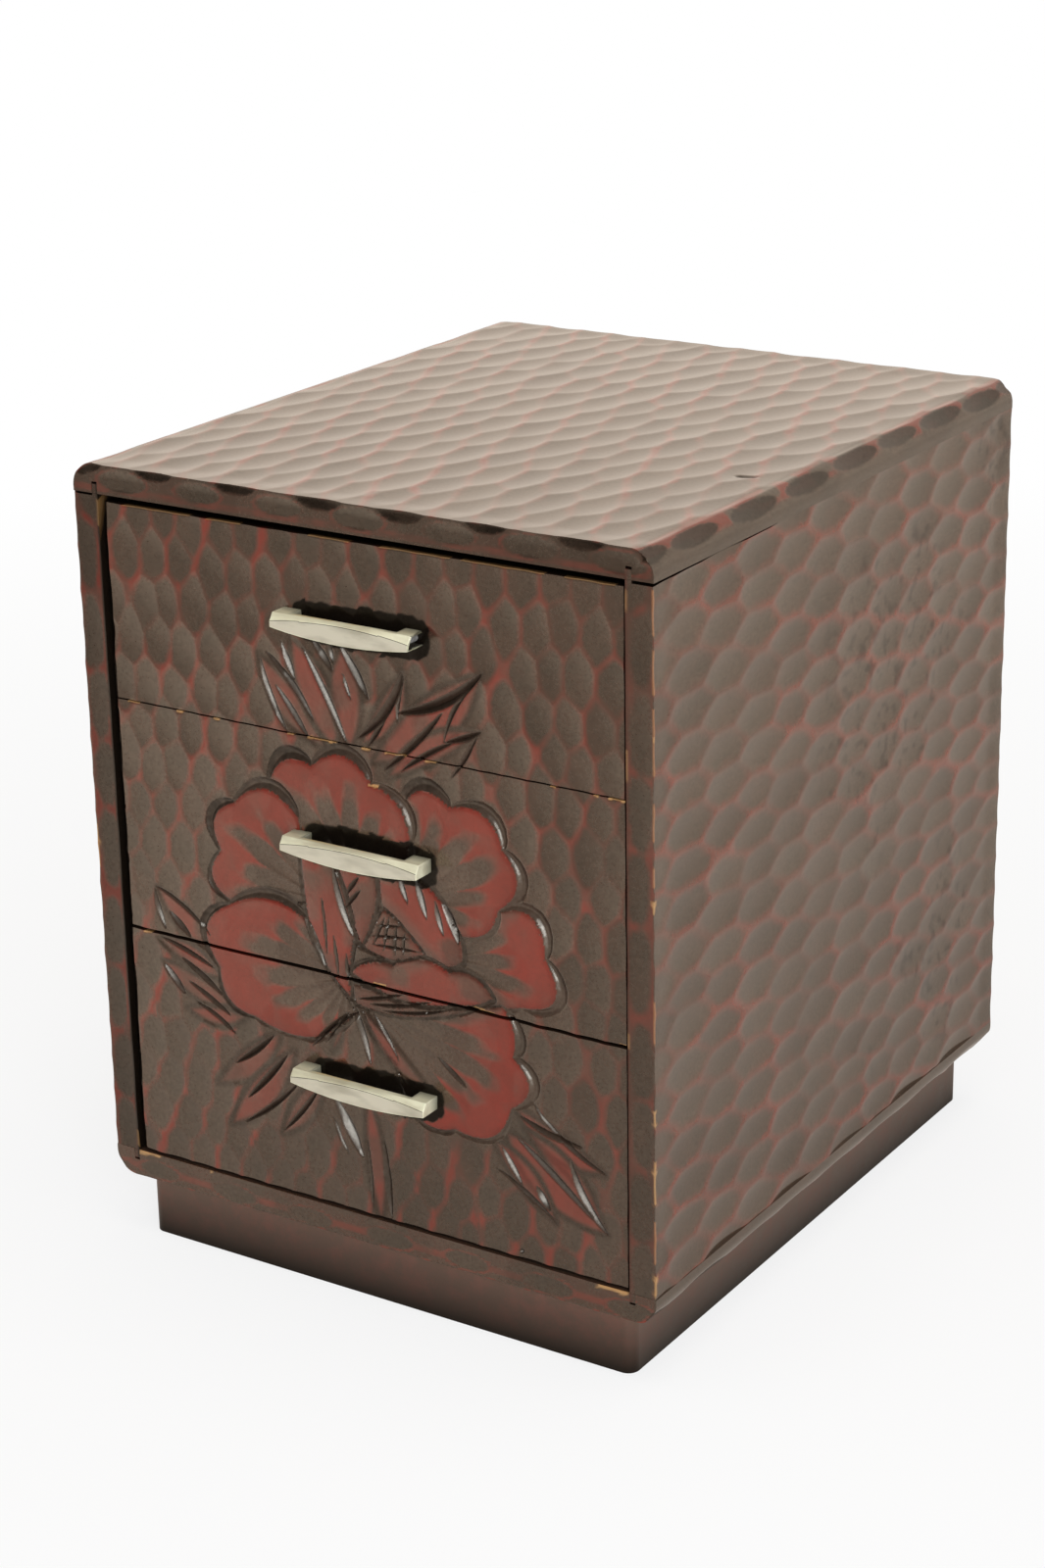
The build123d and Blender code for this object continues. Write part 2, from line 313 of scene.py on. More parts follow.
# %% [markdown]
# The ground is made as the carver makes it: row after row of shallow cuts with a round gouge, each
# row set half a cut sideways. A cut is a shallow bowl, longer than wide, and the lowest bowl wins
# at each point, so that ridges are left where two cuts meet. A texture could fake this, but real
# hollows mirror the room as the wood does. Pitch and rows are the steps from cut to cut, across and
# along, worn is how round the ridges are, and wander is how far a cut strays from its place.

# %% Ground of gouge cuts
TABLE = 64
DEPTH_VARIATION_SHARE = 0.14
FRONT_CUT = {
    "pitch": 8.2, "rows": 10.4, "half_width": 4.5, "half_length": 7.9, "depth": 0.41, "stagger": 0.5,
    "worn": 0.11, "wander": 0.19, "lands": 1.0, "lines": 0.7, "line_width": 1.0, "way": -1,
}


def gouge_cuts(across, along, cut, seed):
    """For each point: level from -1 to 0, distance to the nearest ridge, tone of its cut, ridge's slant."""
    chances = np.random.default_rng(seed).uniform(-1, 1, (4, TABLE, TABLE))
    wander_across, wander_along, deeper, tones = chances
    rows = np.floor(along / cut["rows"]).astype(int)
    columns = np.floor(across / cut["pitch"]).astype(int)
    count = across.shape
    lowest = np.full(count, 9.0)
    second = np.full(count, 9.0)
    center = [np.zeros(count) for _ in range(4)]
    tone = np.zeros(count)
    for row_step in (-2, -1, 0, 1, 2):
        row = rows + row_step
        i = row % TABLE
        for column_step in (-1, 0, 1):
            column = columns + column_step
            j = column % TABLE
            shift = 0.5 + cut["stagger"] * (row % 2)
            u = (column + shift) * cut["pitch"] / cut["half_width"] + 2 * cut["wander"] * wander_across[i, j]
            v = (row + 0.5 + cut["wander"] * wander_along[i, j]) * cut["rows"] / cut["half_length"]
            bowl = (across / cut["half_width"] - u) ** 2 + (along / cut["half_length"] - v) ** 2
            bowl -= 1 + DEPTH_VARIATION_SHARE * deeper[i, j]
            wins = bowl < lowest
            follows = ~wins & (bowl < second)
            second = np.where(wins, lowest, np.where(follows, bowl, second))
            center[2] = np.where(wins, center[0], np.where(follows, u, center[2]))
            center[3] = np.where(wins, center[1], np.where(follows, v, center[3]))
            center[0] = np.where(wins, u, center[0])
            center[1] = np.where(wins, v, center[1])
            tone = np.where(wins, tones[i, j], tone)
            lowest = np.where(wins, bowl, lowest)
    step_across = center[0] - center[2]
    step_along = center[1] - center[3]
    slope = 2 * np.hypot(step_across / cut["half_width"], step_along / cut["half_length"])
    ridge = (second - lowest) / (slope + 0.001)
    share = np.clip(0.5 + 0.5 * (second - lowest) / cut["worn"], 0, 1)
    rounded = lowest * share + second * (1 - share) - cut["worn"] * share * (1 - share)
    return np.minimum(rounded, 0.0), ridge, tone, step_across * step_along


# %% [markdown]
# The dark top coat is rubbed away on the high places and along the ridges, where the red coat under
# it shows. On the front and the top, ridges of one slant show more red than the others. The red is
# taken at three places close together and averaged, which leaves soft borders as polishing does.

# %% Red rubbed free
BLUR = ((0.5, 0.0), (-0.25, 0.43), (-0.25, -0.43))


def rubbed_red(across, along, cut, seed, widen, rest):
    """Red on the high places and along the ridges; rest is what ridges of the other slant keep."""
    rough = cloud(across, along, 2.4, seed + 1) - 0.5
    width = cut["line_width"]
    red = np.zeros(across.shape)
    for side_step, end_step in BLUR:
        level, ridge, _, slant = gouge_cuts(across + side_step, along + end_step, cut, seed)
        lands = cut["lands"] * ease(-0.34, -0.04, level + widen + 0.2 * rough)
        line = cut["lines"] * ease(width, 0.1 * width, ridge + 0.8 * width * rough)
        line *= 0.35 + 0.65 * ease(-0.6, -0.15, level)
        shown = rest + (1 - rest) * ease(-0.7, -0.05, cut["way"] * slant)
        red += np.maximum(lands, line) * shown / len(BLUR)
    return red


# %% [markdown]
# The flower is drawn on the plane of the drawer fronts, in millimetres from the middle of the
# cabinet and from the floor. A petal is a row of scallops: each pair gives a corner, and the third
# number is how far the edge bows out on the way to the next corner, as a share of that distance.
# The root is where the petal grows from, and its dark streaks run outwards from there.

# %% Petals, from the back of the flower to the front
PETALS = (
    {
        "root": (24, 97), "streaks": 9, "dark": 0.78,
        "edge": ((37, 111.5, 0.38), (50.3, 102.6, 0.44), (43.5, 89.3, 0.1), (33, 89, 0), (23, 95, 0),
                 (27, 106, 0)),
    },
    {
        "root": (14, 110), "streaks": 9, "dark": 0.86,
        "edge": ((11.5, 131, 0.33), (25.3, 134.8, 0.27), (39.3, 127, 0.3), (37.8, 112.2, 0.22),
                 (26.5, 103.8, 0.1), (14, 106, 0), (11, 119, 0)),
    },
    {
        "root": (-3, 110), "streaks": 9, "dark": 0.82,
        "edge": ((-26, 131.5, 0.26), (-13.6, 138.1, 0.28), (3.3, 136.7, 0.2), (13.6, 124, 0.08),
                 (9, 113, 0), (-16, 113, 0)),
    },
    {
        "root": (-13, 104), "streaks": 9, "dark": 0.86,
        "edge": ((-18.3, 124, 0.29), (-37, 124.5, 0.3), (-41.6, 111.4, 0.37), (-38.5, 98.6, 0.05),
                 (-26, 101, 0), (-16.5, 103, 0), (-16.5, 113, 0)),
    },
    {
        "root": (0, 80), "streaks": 15, "dark": 0.83,
        "edge": ((38.5, 88, 0.14), (40.9, 75.8, 0.36), (40.2, 62.7, 0.26), (24.4, 53.6, 0.14),
                 (12.5, 54.6, 0.05), (8, 66.5, 0.05), (-1.5, 78, 0.05), (14, 80.5, 0)),
    },
    {
        "root": (-6, 85), "streaks": 10, "dark": 0.78,
        "edge": ((-16.8, 98.2, 0.15), (-40.2, 97.4, 0.32), (-43.8, 80.4, 0.26), (-33.8, 69.6, 0.18),
                 (-3.4, 77, 0.02), (-12, 86.6, 0.04)),
    },
)
INNER_PETALS = (
    {"edge": ((-9.2, 115, 0.04), (-3, 97.3, -0.05), (-5, 81.2, 0.06), (-15, 94, 0.04), (-17.6, 115, 0))},
    {"edge": ((-7.6, 115, 0), (3.4, 115, 0.05), (3, 105, 0.02), (-0.8, 95.4, 0.05), (-2.6, 98.5, -0.04))},
    {"edge": ((4.6, 115, 0), (16, 115, 0.1), (25, 105.5, 0.1), (27.3, 97, 0.2), (17, 96.8, 0.05),
              (11.5, 101.5, 0), (5.4, 106.5, 0))},
    {"edge": ((-4.5, 87.6, 0.12), (7.8, 91.8, 0.16), (23.6, 93.4, 0.2), (35.6, 89.4, 0.05), (24, 85.4, 0.04),
              (8, 83.8, 0.02))},
)
SEED_HEAD = ((-0.4, 95, 0), (5.6, 105.6, 0.05), (11.4, 101.6, 0.02), (16.6, 96.6, 0.02), (8, 93.4, 0.05))
CURL = ((-5.2, 84.6, 0), (8, 83.9, 0), (24, 85.5, 0), (35.6, 89.4, 0.06), (14, 80.2, 0.06), (-3, 79.8, 0.05))

# %% [markdown]
# Leaves and stem are slim almonds, given by root, tip, width and a sideways bow. The sharp strokes
# on them, and between the petals, are single cuts with a V-shaped tool: start, end, width and bow.

# %% Leaves and V-shaped cuts
LEAVES = (
    (-9, 143, -27.5, 163.5, 8.0, 1.5), (-6, 143, -18, 169, 9.5, -0.5), (-2, 144, -3, 170, 9.0, 0.5),
    (1, 146, 13.4, 165.6, 7.0, -2.2), (4, 142, 35, 168.6, 11.5, -1.6), (8, 139, 34, 154.6, 6.5, 1.6),
    (-43, 84, -62.5, 98, 6.5, 1.2), (-43, 77, -63, 84, 6.0, -1.0), (-40, 71, -62, 78.5, 6.5, 1.6),
    (-36, 69, -55, 67, 5.0, 1.2), (-26, 67, -46.5, 48.5, 7.0, 1.2), (-22, 63, -43, 38, 8.0, 0.8),
    (-14, 58, -27, 39.5, 6.5, 0.8), (41, 64, 66, 52, 7.0, -2.0), (38, 57, 66.5, 36.5, 10.5, -1.2),
    (35, 54, 52.5, 36, 6.5, 0.8), (-1, 57, 2, 22, 5.4, 0.6), (44, 58.5, 65.5, 38.5, 6.0, 1.5),
)
RED_RIMS = ((-1.6, 78.6, 19, 60, 4.4, -1.6), (-11, 65.6, -7.4, 72.4, 1.6, 0))
STROKES = (
    (-14.8, 167, -3.2, 145.6, 1.7, 0.6), (-27.2, 162.5, -20.2, 145.8, 1.5, -0.9),
    (-23, 156.5, -14, 144.8, 1.5, 0.4), (-25.5, 164.5, -12.5, 149.5, 1.6, 1.3),
    (-21, 167.5, -17.4, 158.5, 1.5, 0.3), (-12.4, 170, -6.6, 162.6, 1.8, 0.4),
    (-7.2, 170, -6.2, 164.6, 1.4, 0), (-4.6, 170, 3.4, 157.4, 2.0, 0.5),
    (-3.6, 162.4, -1.6, 156.6, 0.9, 0), (0.2, 147.5, 13.2, 165.6, 2.3, -2.2),
    (11.4, 153.4, 13.6, 164.6, 1.3, 0.5), (3, 146, 8.6, 155, 1.4, -0.3),
    (11.6, 155.4, 35, 168.8, 2.6, -2.6), (7.4, 141, 24, 157.6, 1.7, -0.8),
    (24, 150.4, 34.8, 168, 1.2, 1.6), (12, 141.4, 27, 151, 1.3, 0.4),
    (24.6, 150.6, 34.4, 154.8, 1.5, -0.5), (26, 142.4, 33.4, 153.8, 1.2, -0.5),
    (-63, 97.4, -60.4, 87, 1.4, -0.4), (-59, 92, -52.6, 86.4, 1.5, 0.3),
    (-62.6, 98, -46.4, 88.2, 1.0, 1.2), (-61.8, 84.6, -46, 79.6, 1.2, 0.5),
    (-61.4, 77.4, -55.4, 70.6, 1.6, 0.3), (-56, 80.4, -43.4, 72.6, 1.3, 0.5),
    (-54, 74.4, -41.4, 67.8, 1.2, 0.4), (-52, 69.4, -40, 63.4, 1.1, 0.6),
    (-28.4, 65.6, -40.6, 55.4, 1.7, 0.6), (-24.4, 61.4, -37.4, 46.6, 1.8, 0.4),
    (-21, 55, -38.6, 39.8, 1.4, 1.0), (-15, 55, -26.6, 40.4, 1.4, 0.6),
    (-11, 53.8, -2.6, 38.8, 2.6, 0.4), (-11.4, 47.6, -7.2, 38.8, 1.0, 0), (3.4, 45, 5, 24.4, 2.0, 0.3),
    (-1.4, 44, -0.2, 25, 0.9, 0.2), (42.6, 61.6, 60, 57.4, 1.6, -0.8),
    (46.6, 65.4, 66.4, 52, 1.3, -1.6), (42, 55.4, 62.4, 39.6, 1.7, 0.6),
    (56.4, 53.8, 66.6, 36.6, 1.9, -1.4), (47.2, 44.2, 50.8, 38.6, 1.9, 0),
    (37.6, 52, 43, 43.6, 1.5, 0.2), (36, 46, 52.4, 36, 1.0, 0.9), (19.8, 71, 28, 65, 1.2, 0.2),
    (-3.8, 79.4, 0.6, 64.6, 1.9, 0.3), (1.4, 78, 8.6, 67.6, 0.8, 0.5),
    (-3.2, 77.2, -16.4, 65.8, 1.5, -0.8), (10.4, 115.4, 12.8, 108.8, 1.4, 0),
    (15, 115.4, 18, 106, 1.7, 0.3), (20.4, 110.8, 22.6, 102.8, 1.3, 0),
    (22.4, 110.6, 26.6, 101.4, 1.9, 0.7), (-5, 107.4, -1, 112.6, 1.2, 0),
    (-5.4, 104, -0.6, 109.4, 1.1, 0), (-9, 96, -8, 85, 0.9, 0.2), (-12, 105, -11.2, 91, 0.8, 0.2),
    (-5.6, 92, -5.2, 84, 0.8, 0), (-2.5, 81.2, 10.5, 85, 1.0, -0.4), (1, 80.6, 18.5, 84.9, 1.1, -0.8),
    (4.5, 79.6, 24.3, 84.4, 1.0, -1.0), (2.6, 96.4, 6, 103.8, 0.9, 0), (5.4, 95.4, 7.2, 104, 0.9, 0),
    (8.6, 94.8, 9.2, 102.4, 0.9, 0), (11, 95.4, 11.4, 100.6, 0.9, 0), (2, 98.4, 12.6, 99.8, 0.8, 0),
    (2.2, 96.2, 15.6, 97, 0.8, 0), (3.6, 101.2, 10.4, 102.4, 0.7, 0),
    (-8.6, 113.4, -3.2, 96.6, 1.7, -0.6), (-16.2, 98, -11.8, 86, 1.6, 0.3),
    (-12.6, 67.4, -5.4, 77, 0.9, 0.2), (-17, 66.4, -6.4, 76.6, 0.8, -0.4),
    (42.5, 26.6, 42.9, 25.4, 1.1, 0),
)
print("petals:", len(PETALS) + len(INNER_PETALS), "leaves:", len(LEAVES), "strokes:", len(STROKES))

# %% [markdown]
# The carver draws the flower on the wood before cutting it. Here the drawing is a set of rows of
# points: bowed edges and strokes become short straight pieces. Curve objects could hold it as well,
# but the carving needs plain points to measure from.

# %% Outlines from corners and strokes
EDGE_PIECES = 9


def bowed_outline(corners):
    """Closed row of points through the corners, each edge bowed outwards by its share."""
    places = np.array([corner[:2] for corner in corners], float)
    following = np.roll(places, -1, axis=0)
    area = np.sum(places[:, 0] * following[:, 1] - following[:, 0] * places[:, 1])
    outward = -1.0 if area > 0 else 1.0
    points = []
    for corner, start, end in zip(corners, places, following):
        run = end - start
        side = outward * np.array((-run[1], run[0]))
        for t in np.arange(EDGE_PIECES) / EDGE_PIECES:
            points.append(start + run * t + side * corner[2] * 4 * t * (1 - t))
    return np.array([*points, points[0]])


def stroke_line(stroke):
    """Row of points along a bowed stroke."""
    start = np.array(stroke[:2], float)
    run = np.array(stroke[2:4]) - start
    side = np.array((-run[1], run[0])) / np.hypot(*run) * stroke[5]
    steps = np.linspace(0, 1, EDGE_PIECES + 1)
    return np.array([start + run * t + side * 4 * t * (1 - t) for t in steps])


# %% [markdown]
# To carve a shape, every point of the mesh needs its distance to that shape's outline, positive
# inside it, and how far along the outline the nearest place lies. Points far from the shape are left
# out first, which keeps this quick on a fine mesh.


# %% Distances to an outline
def near_box(x, z, points, margin):
    """Which mesh points lie within a margin of the box round a row of points."""
    low = points.min(axis=0) - margin
    high = points.max(axis=0) + margin
    return np.flatnonzero((x > low[0]) & (x < high[0]) & (z > low[1]) & (z < high[1]))


def nearest_on(x, z, points):
    """Way to the nearest place on a row of points, as two offsets, and how far along it lies."""
    best = np.full(x.shape, 1e9)
    way_x = np.zeros(x.shape)
    way_z = np.zeros(x.shape)
    along = np.zeros(x.shape)
    for k, (start, end) in enumerate(zip(points[:-1], points[1:])):
        run = end - start
        t = np.clip(((x - start[0]) * run[0] + (z - start[1]) * run[1]) / (run @ run), 0, 1)
        dx = start[0] + t * run[0] - x
        dz = start[1] + t * run[1] - z
        wins = dx * dx + dz * dz < best
        best = np.where(wins, dx * dx + dz * dz, best)
        way_x = np.where(wins, dx, way_x)
        way_z = np.where(wins, dz, way_z)
        along = np.where(wins, (k + t) / (len(points) - 1), along)
    return way_x, way_z, along


def outline_distance(x, z, points):
    """Distance to a closed outline, positive inside it, and how far along it the nearest place lies."""
    inside = np.zeros(x.shape, bool)
    for start, end in zip(points[:-1], points[1:]):
        crosses = (start[1] > z) != (end[1] > z)
        rise = end[1] - start[1]
        where = start[0] + (z - start[1]) * (end[0] - start[0]) / (rise if rise else 1.0)
        inside ^= crosses & (x < where)
    way_x, way_z, along = nearest_on(x, z, points)
    distance = np.hypot(way_x, way_z)
    return np.where(inside, distance, -distance), along


# %% [markdown]
# A knife leaves crisp rims and V-shaped cuts, and a square grid would turn them into steps. So mesh
# points right beside a line of the drawing are pulled on to it before the carving.


# %% Points pulled on to lines
def pull_to_lines(x, z, lines, reach):
    """Move mesh points on to lines that pass within reach; says which points have moved."""
    moved = np.zeros(x.shape, bool)
    for points in lines:
        near = near_box(x, z, points, reach)
        if near.size == 0:
            continue
        way_x, way_z, _ = nearest_on(x[near], z[near], points)
        reached = np.hypot(way_x, way_z) < reach
        close = near[reached]
        x[close] += way_x[reached]
        z[close] += way_z[reached]
        moved[close] = True
    return moved


# %% [markdown]
# The carver first cuts a groove round each petal with a round gouge, steep against the petal and
# sloping away from it. It is a crescent along each scallop, widest above and to the right. The groove
# is painted dark with coat and with painted shade, most where it faces left, away from the lamps. The
# relief is a set of arrays, one value for each mesh point: height, how much red shows, how much dark
# coat and painted shade lie there, and how soft the gloss is, which is highest in the grooves.

# %% Grooves round the petals
TRENCH_WIDTH = 3.7
TRENCH_LEAST = 0.8
TRENCH_DEPTH = 1.2
TRENCH_LOW_SHARE = 0.38
QUIET_MARGIN = 5.0


def groove_width_and_shade(edge, along):
    """Groove width beside a petal, a crescent per scallop, and how far it faces left, for painted shade."""
    corners = np.array([corner[:2] for corner in edge], float)
    bows = np.array([corner[2] for corner in edge])
    runs = np.roll(corners, -1, axis=0) - corners
    turning = np.sign(np.sum(corners[:, 0] * runs[:, 1] - corners[:, 1] * runs[:, 0]))
    lengths = np.hypot(runs[:, 0], runs[:, 1])
    rightward = turning * runs[:, 1] / lengths
    upward_share = -turning * runs[:, 0] / lengths
    size = (0.3 + 0.7 * ease(-0.75, 0.25, upward_share + 0.55 * rightward)) * ease(0.0, 0.12, bows)
    place = along * len(edge)
    scallop = np.minimum(place.astype(int), len(edge) - 1)
    share = place - scallop
    to_right = np.where(runs[scallop, 0] > 0, share, 1 - share)
    crescent = np.clip(np.sin(np.pi * to_right**1.5), 0, 1) ** 0.6
    width = TRENCH_LEAST + (TRENCH_WIDTH - TRENCH_LEAST) * size[scallop] * crescent
    return width, ease(0.6, -0.6, rightward)[scallop]


def sink_trench(relief, near, distance, width, depth, dark_coat_and_shade, seed):
    """Cut the groove outside an outline, dark with coat and painted shade in patches and at its borders."""
    out = np.clip(-distance / width, 0, 1)
    inner_wall = 1 - (1 - np.clip(out / TRENCH_LOW_SHARE, 0, 1)) ** 1.2
    outer_wall = 1 - (np.clip(out - TRENCH_LOW_SHARE, 0, 1) / (1 - TRENCH_LOW_SHARE)) ** 2
    outside = distance < 0
    groove = np.where(outside, -depth * np.where(out < TRENCH_LOW_SHARE, inner_wall, outer_wall), 0.0)
    relief["height"][near] = np.minimum(relief["height"][near], groove)
    hidden = np.where(outside, ease(1.0, 0.8, out), 0.0)
    relief["red"][near] *= 1 - hidden
    patches = cloud(relief["x"][near], relief["z"][near], 1.2, seed)
    borders = np.maximum(ease(0.22, 0.05, out), 0.9 * ease(0.6, 0.9, out) * ease(1.0, 0.97, out))
    coat = np.maximum(borders * (0.5 + 0.5 * patches), hidden * (0.25 + 0.6 * patches))
    coat = np.where(outside, dark_coat_and_shade * coat, 0.0)
    relief["dark"][near] = np.maximum(relief["dark"][near] * (1 - hidden), coat)
    relief["soft"][near] = np.maximum(relief["soft"][near], hidden)
    quiet = np.where(outside, ease(QUIET_MARGIN, np.minimum(width, 0.8 * QUIET_MARGIN), -distance), 0.0)
    relief["red"][near] *= 1 - 0.6 * quiet


# %% [markdown]
# Inside its groove a petal is dished towards its root and rolls over at the rim. Dark streaks with
# rounded ends run out from the root, each in a shallow furrow, and the rest is red. How far a point
# lies on the way from root to rim gives both the dish and the streaks, whatever the petal's outline.

# %% Carving a petal
ROLL_WIDTH = 0.5
PETAL_DISH = 0.55
STREAK_DEPTH = 0.16


def raise_inside(relief, near, distance, level, red):
    """Set the surface inside an outline, with a rim that rolls over."""
    inside = distance >= 0
    roll = np.exp(-np.clip(distance, 0, None) / ROLL_WIDTH)
    relief["height"][near] = np.where(inside, level - 0.2 * roll, relief["height"][near])
    relief["red"][near] = np.where(inside, red, relief["red"][near])
    relief["dark"][near] = np.where(inside, 0.2 * roll, relief["dark"][near])
    relief["soft"][near] = np.where(inside, 0.0, relief["soft"][near])


def share_of_way(x, z, root, points):
    """How far each point lies on the way from a petal's root to its rim, and in which direction."""
    rim = points[:-1] - np.array(root)
    reach = np.hypot(rim[:, 0], rim[:, 1])
    far = reach > 0.4 * reach.max()
    heading = np.arctan2(rim[far, 1], rim[far, 0])
    order = np.argsort(heading)
    angle = np.arctan2(z - root[1], x - root[0])
    rim_reach = np.interp(angle, heading[order], reach[far][order], period=2 * np.pi)
    return np.hypot(x - root[0], z - root[1]) / rim_reach, angle


def carve_petal(relief, petal, seed):
    """Broad petal: red towards the rim, with rounded dark streaks that run out from its root."""
    points = bowed_outline(petal["edge"])
    near = near_box(relief["x"], relief["z"], points, QUIET_MARGIN)
    if near.size == 0:
        return
    x = relief["x"][near]
    z = relief["z"][near]
    distance, along = outline_distance(x, z, points)
    way, angle = share_of_way(x, z, petal["root"], points)
    uneven = cloud(x, z, 3.0, seed) - 0.5
    turn = (angle / np.pi + 1) * petal["streaks"]
    lengths = np.random.default_rng(seed).uniform(0.86, 1.06, 2 * petal["streaks"] + 2)
    end = petal["dark"] * lengths[turn.astype(int)]
    across = np.sin(np.pi * (turn % 1))
    streak = ease(end + 0.08, end - 0.14, way + 0.26 * (1 - across) ** 1.6 + 0.14 * uneven)
    furrow = across * ease(end + 0.05, end - 0.3, way)
    level = -0.1 - PETAL_DISH * ease(1.0, 0.2, way) - STREAK_DEPTH * furrow
    width, leftward = groove_width_and_shade(petal["edge"], along)
    depth = TRENCH_DEPTH * (width / TRENCH_WIDTH) ** 0.7
    # Grooves that face left are painted darker: painted shade, away from the lamps.
    sink_trench(relief, near, distance, width, depth, 0.08 + 0.74 * leftward, seed)
    raise_inside(relief, near, distance, level, (1 - 0.96 * streak) * (0.85 + 0.3 * (uneven + 0.5)))


# %% [markdown]
# The heart of the flower has slim, slightly domed petals with narrow grooves. Leaves have no groove:
# they are shaded in red, a little lower than the ground, and only V-cuts draw their ribs.


# %% Inner petals and leaves
def carve_small(relief, corners, width, depth, red, seed):
    """Slim inner shape: red, a little domed, darker in patches."""
    points = bowed_outline(corners)
    near = near_box(relief["x"], relief["z"], points, QUIET_MARGIN)
    if near.size == 0:
        return
    x = relief["x"][near]
    z = relief["z"][near]
    distance, _ = outline_distance(x, z, points)
    level = -0.3 + 0.06 * np.clip(distance, 0, 4)
    shown = red * (0.3 + 0.7 * ease(0.25, 0.6, cloud(x, z, 5.0, seed)))
    sink_trench(relief, near, distance, width, depth, 0.65, seed)
    raise_inside(relief, near, distance, level, shown)


def leaf_outline(leaf):
    """Almond from root to tip, bowed sideways as a whole."""
    root = np.array(leaf[:2], float)
    tip = np.array(leaf[2:4], float)
    length = np.hypot(*(tip - root))
    near_bow = (leaf[4] / 2 + leaf[5]) / length
    far_bow = (leaf[4] / 2 - leaf[5]) / length
    return bowed_outline(((*root, near_bow), (*tip, far_bow)))


def shade_leaf(relief, leaf, seed):
    """Leaf: a patch of red with soft borders, a little lower than the ground."""
    points = leaf_outline(leaf)
    near = near_box(relief["x"], relief["z"], points, 2.0)
    if near.size == 0:
        return
    x = relief["x"][near]
    z = relief["z"][near]
    distance, _ = outline_distance(x, z, points)
    inside = ease(-0.8, 0.8, distance)
    red = 0.78 * ease(-0.2, 1.8, distance) * (0.45 + 0.55 * ease(0.2, 0.6, cloud(x, z, 6.0, seed)))
    relief["height"][near] = relief["height"][near] * (1 - inside) - 0.3 * inside
    relief["red"][near] = relief["red"][near] * (1 - ease(-1.6, -0.2, distance)) + red
    shadow = 0.3 * ease(-1.6, -0.3, distance) * ease(1.2, 0.2, distance)
    relief["dark"][near] = np.maximum(relief["dark"][near], shadow)


# %% [markdown]
# A stroke is one push of a V-shaped tool: it starts thin, swells and runs out thin. The tool is held
# at a slant, so that one wall is wider than the other; that wall faces the lamp and flashes white.

# %% V-shaped strokes
LIT_WALL_SHARE = 0.62
STROKE_SLOPE = 0.9


def cut_stroke(relief, stroke):
    """One V-shaped cut that tapers to both ends; the wall that faces right is the wider one."""
    points = stroke_line(stroke)
    near = near_box(relief["x"], relief["z"], points, stroke[4])
    if near.size == 0:
        return
    way_x, way_z, along = nearest_on(relief["x"][near], relief["z"][near], points)
    run_x, run_z = points[-1] - points[0]
    side = way_x * run_z - way_z * run_x
    lit = (side * run_z if abs(run_z) > 0.2 * abs(run_x) else side * run_x) > 0
    full = 1.25 * stroke[4] * np.clip(np.sin(np.pi * along), 0.02, 1) ** 0.6
    wall = np.where(lit, LIT_WALL_SHARE, 1 - LIT_WALL_SHARE) * full
    fall = np.clip(1 - np.hypot(way_x, way_z) / wall, 0, 1)
    relief["height"][near] -= STROKE_SLOPE * LIT_WALL_SHARE * full * (0.65 * fall + 0.35 * fall**2)
    relief["red"][near] *= 1 - ease(0.0, 0.2, fall)
    # Dark coat in the cut, twice as much on the wall away from the lamp: painted shade.
    coat = np.where(lit, 0.25, 0.5) * ease(0.0, 0.3, fall)
    relief["dark"][near] = np.maximum(relief["dark"][near] * (1 - ease(0.0, 0.25, fall)), coat)
    relief["soft"][near] = np.maximum(relief["soft"][near], ease(0.0, 0.2, fall))


# %% [markdown]
# The flower is carved from the back to the front, as its parts overlap: leaves, petals, the heart,
# and the strokes last, because they cross all the rest.

# %% Whole flower
LEAF_SEED = 40
RED_RIM_SEED = 60
PETAL_SEED = 70
HEART_SEED = 90


def carve_flower(relief):
    """Leaves first, then petals from back to front, then the inner petals and the strokes."""
    for number, leaf in enumerate(LEAVES):
        shade_leaf(relief, leaf, LEAF_SEED + number)
    for number, petal in enumerate(PETALS):
        carve_petal(relief, petal, PETAL_SEED + number)
    for number, rim in enumerate(RED_RIMS):
        shade_leaf(relief, rim, RED_RIM_SEED + number)
    carve_small(relief, CURL, 1.0, 0.6, 0.35, HEART_SEED)
    for number, petal in enumerate(INNER_PETALS):
        carve_small(relief, petal["edge"], 1.5, 0.8, 0.95, HEART_SEED + 1 + number)
    carve_small(relief, SEED_HEAD, 0.9, 0.8, 0.5, HEART_SEED + 6)
    for stroke in STROKES:
        cut_stroke(relief, stroke)


# %% [markdown]
# A carved board starts as a grid on its carved face. Its border is extruded back in short steps,
# which gives the edges of the board their own fine mesh, and one face closes the far side. The
# carving then moves the vertices. This keeps one closed skin, fine only where it is seen. A mesh is
# in metres and the arrays are in millimetres, so values for a mesh are written times MM.

# %% Board mesh
SAME_PLACE = 0.001
CUT_SNAP = 0.0001 * MM


def board_mesh(center, half_u, half_v, spacing, back_steps):
    """Grid spanned by two half-side vectors, with its border extruded back step by step."""
    board = bmesh.new()
    place = Matrix.Translation(center) @ Matrix(
        (half_u, half_v, half_u.cross(half_v).normalized())
    ).transposed().to_4x4()
    bmesh.ops.create_grid(
        board, x_segments=round(2 * half_u.length / spacing),
        y_segments=round(2 * half_v.length / spacing), size=1.0, matrix=place,
    )
    border = [edge for edge in board.edges if edge.is_boundary]
    for step in back_steps:
        made = bmesh.ops.extrude_edge_only(board, edges=border)["geom"]
        verts = [item for item in made if isinstance(item, bmesh.types.BMVert)]
        bmesh.ops.translate(board, verts=verts, vec=step)
        border = [item for item in made if isinstance(item, bmesh.types.BMEdge) and item.is_boundary]
    bmesh.ops.contextual_create(board, geom=border)
    bmesh.ops.recalc_face_normals(board, faces=board.faces)
    return board


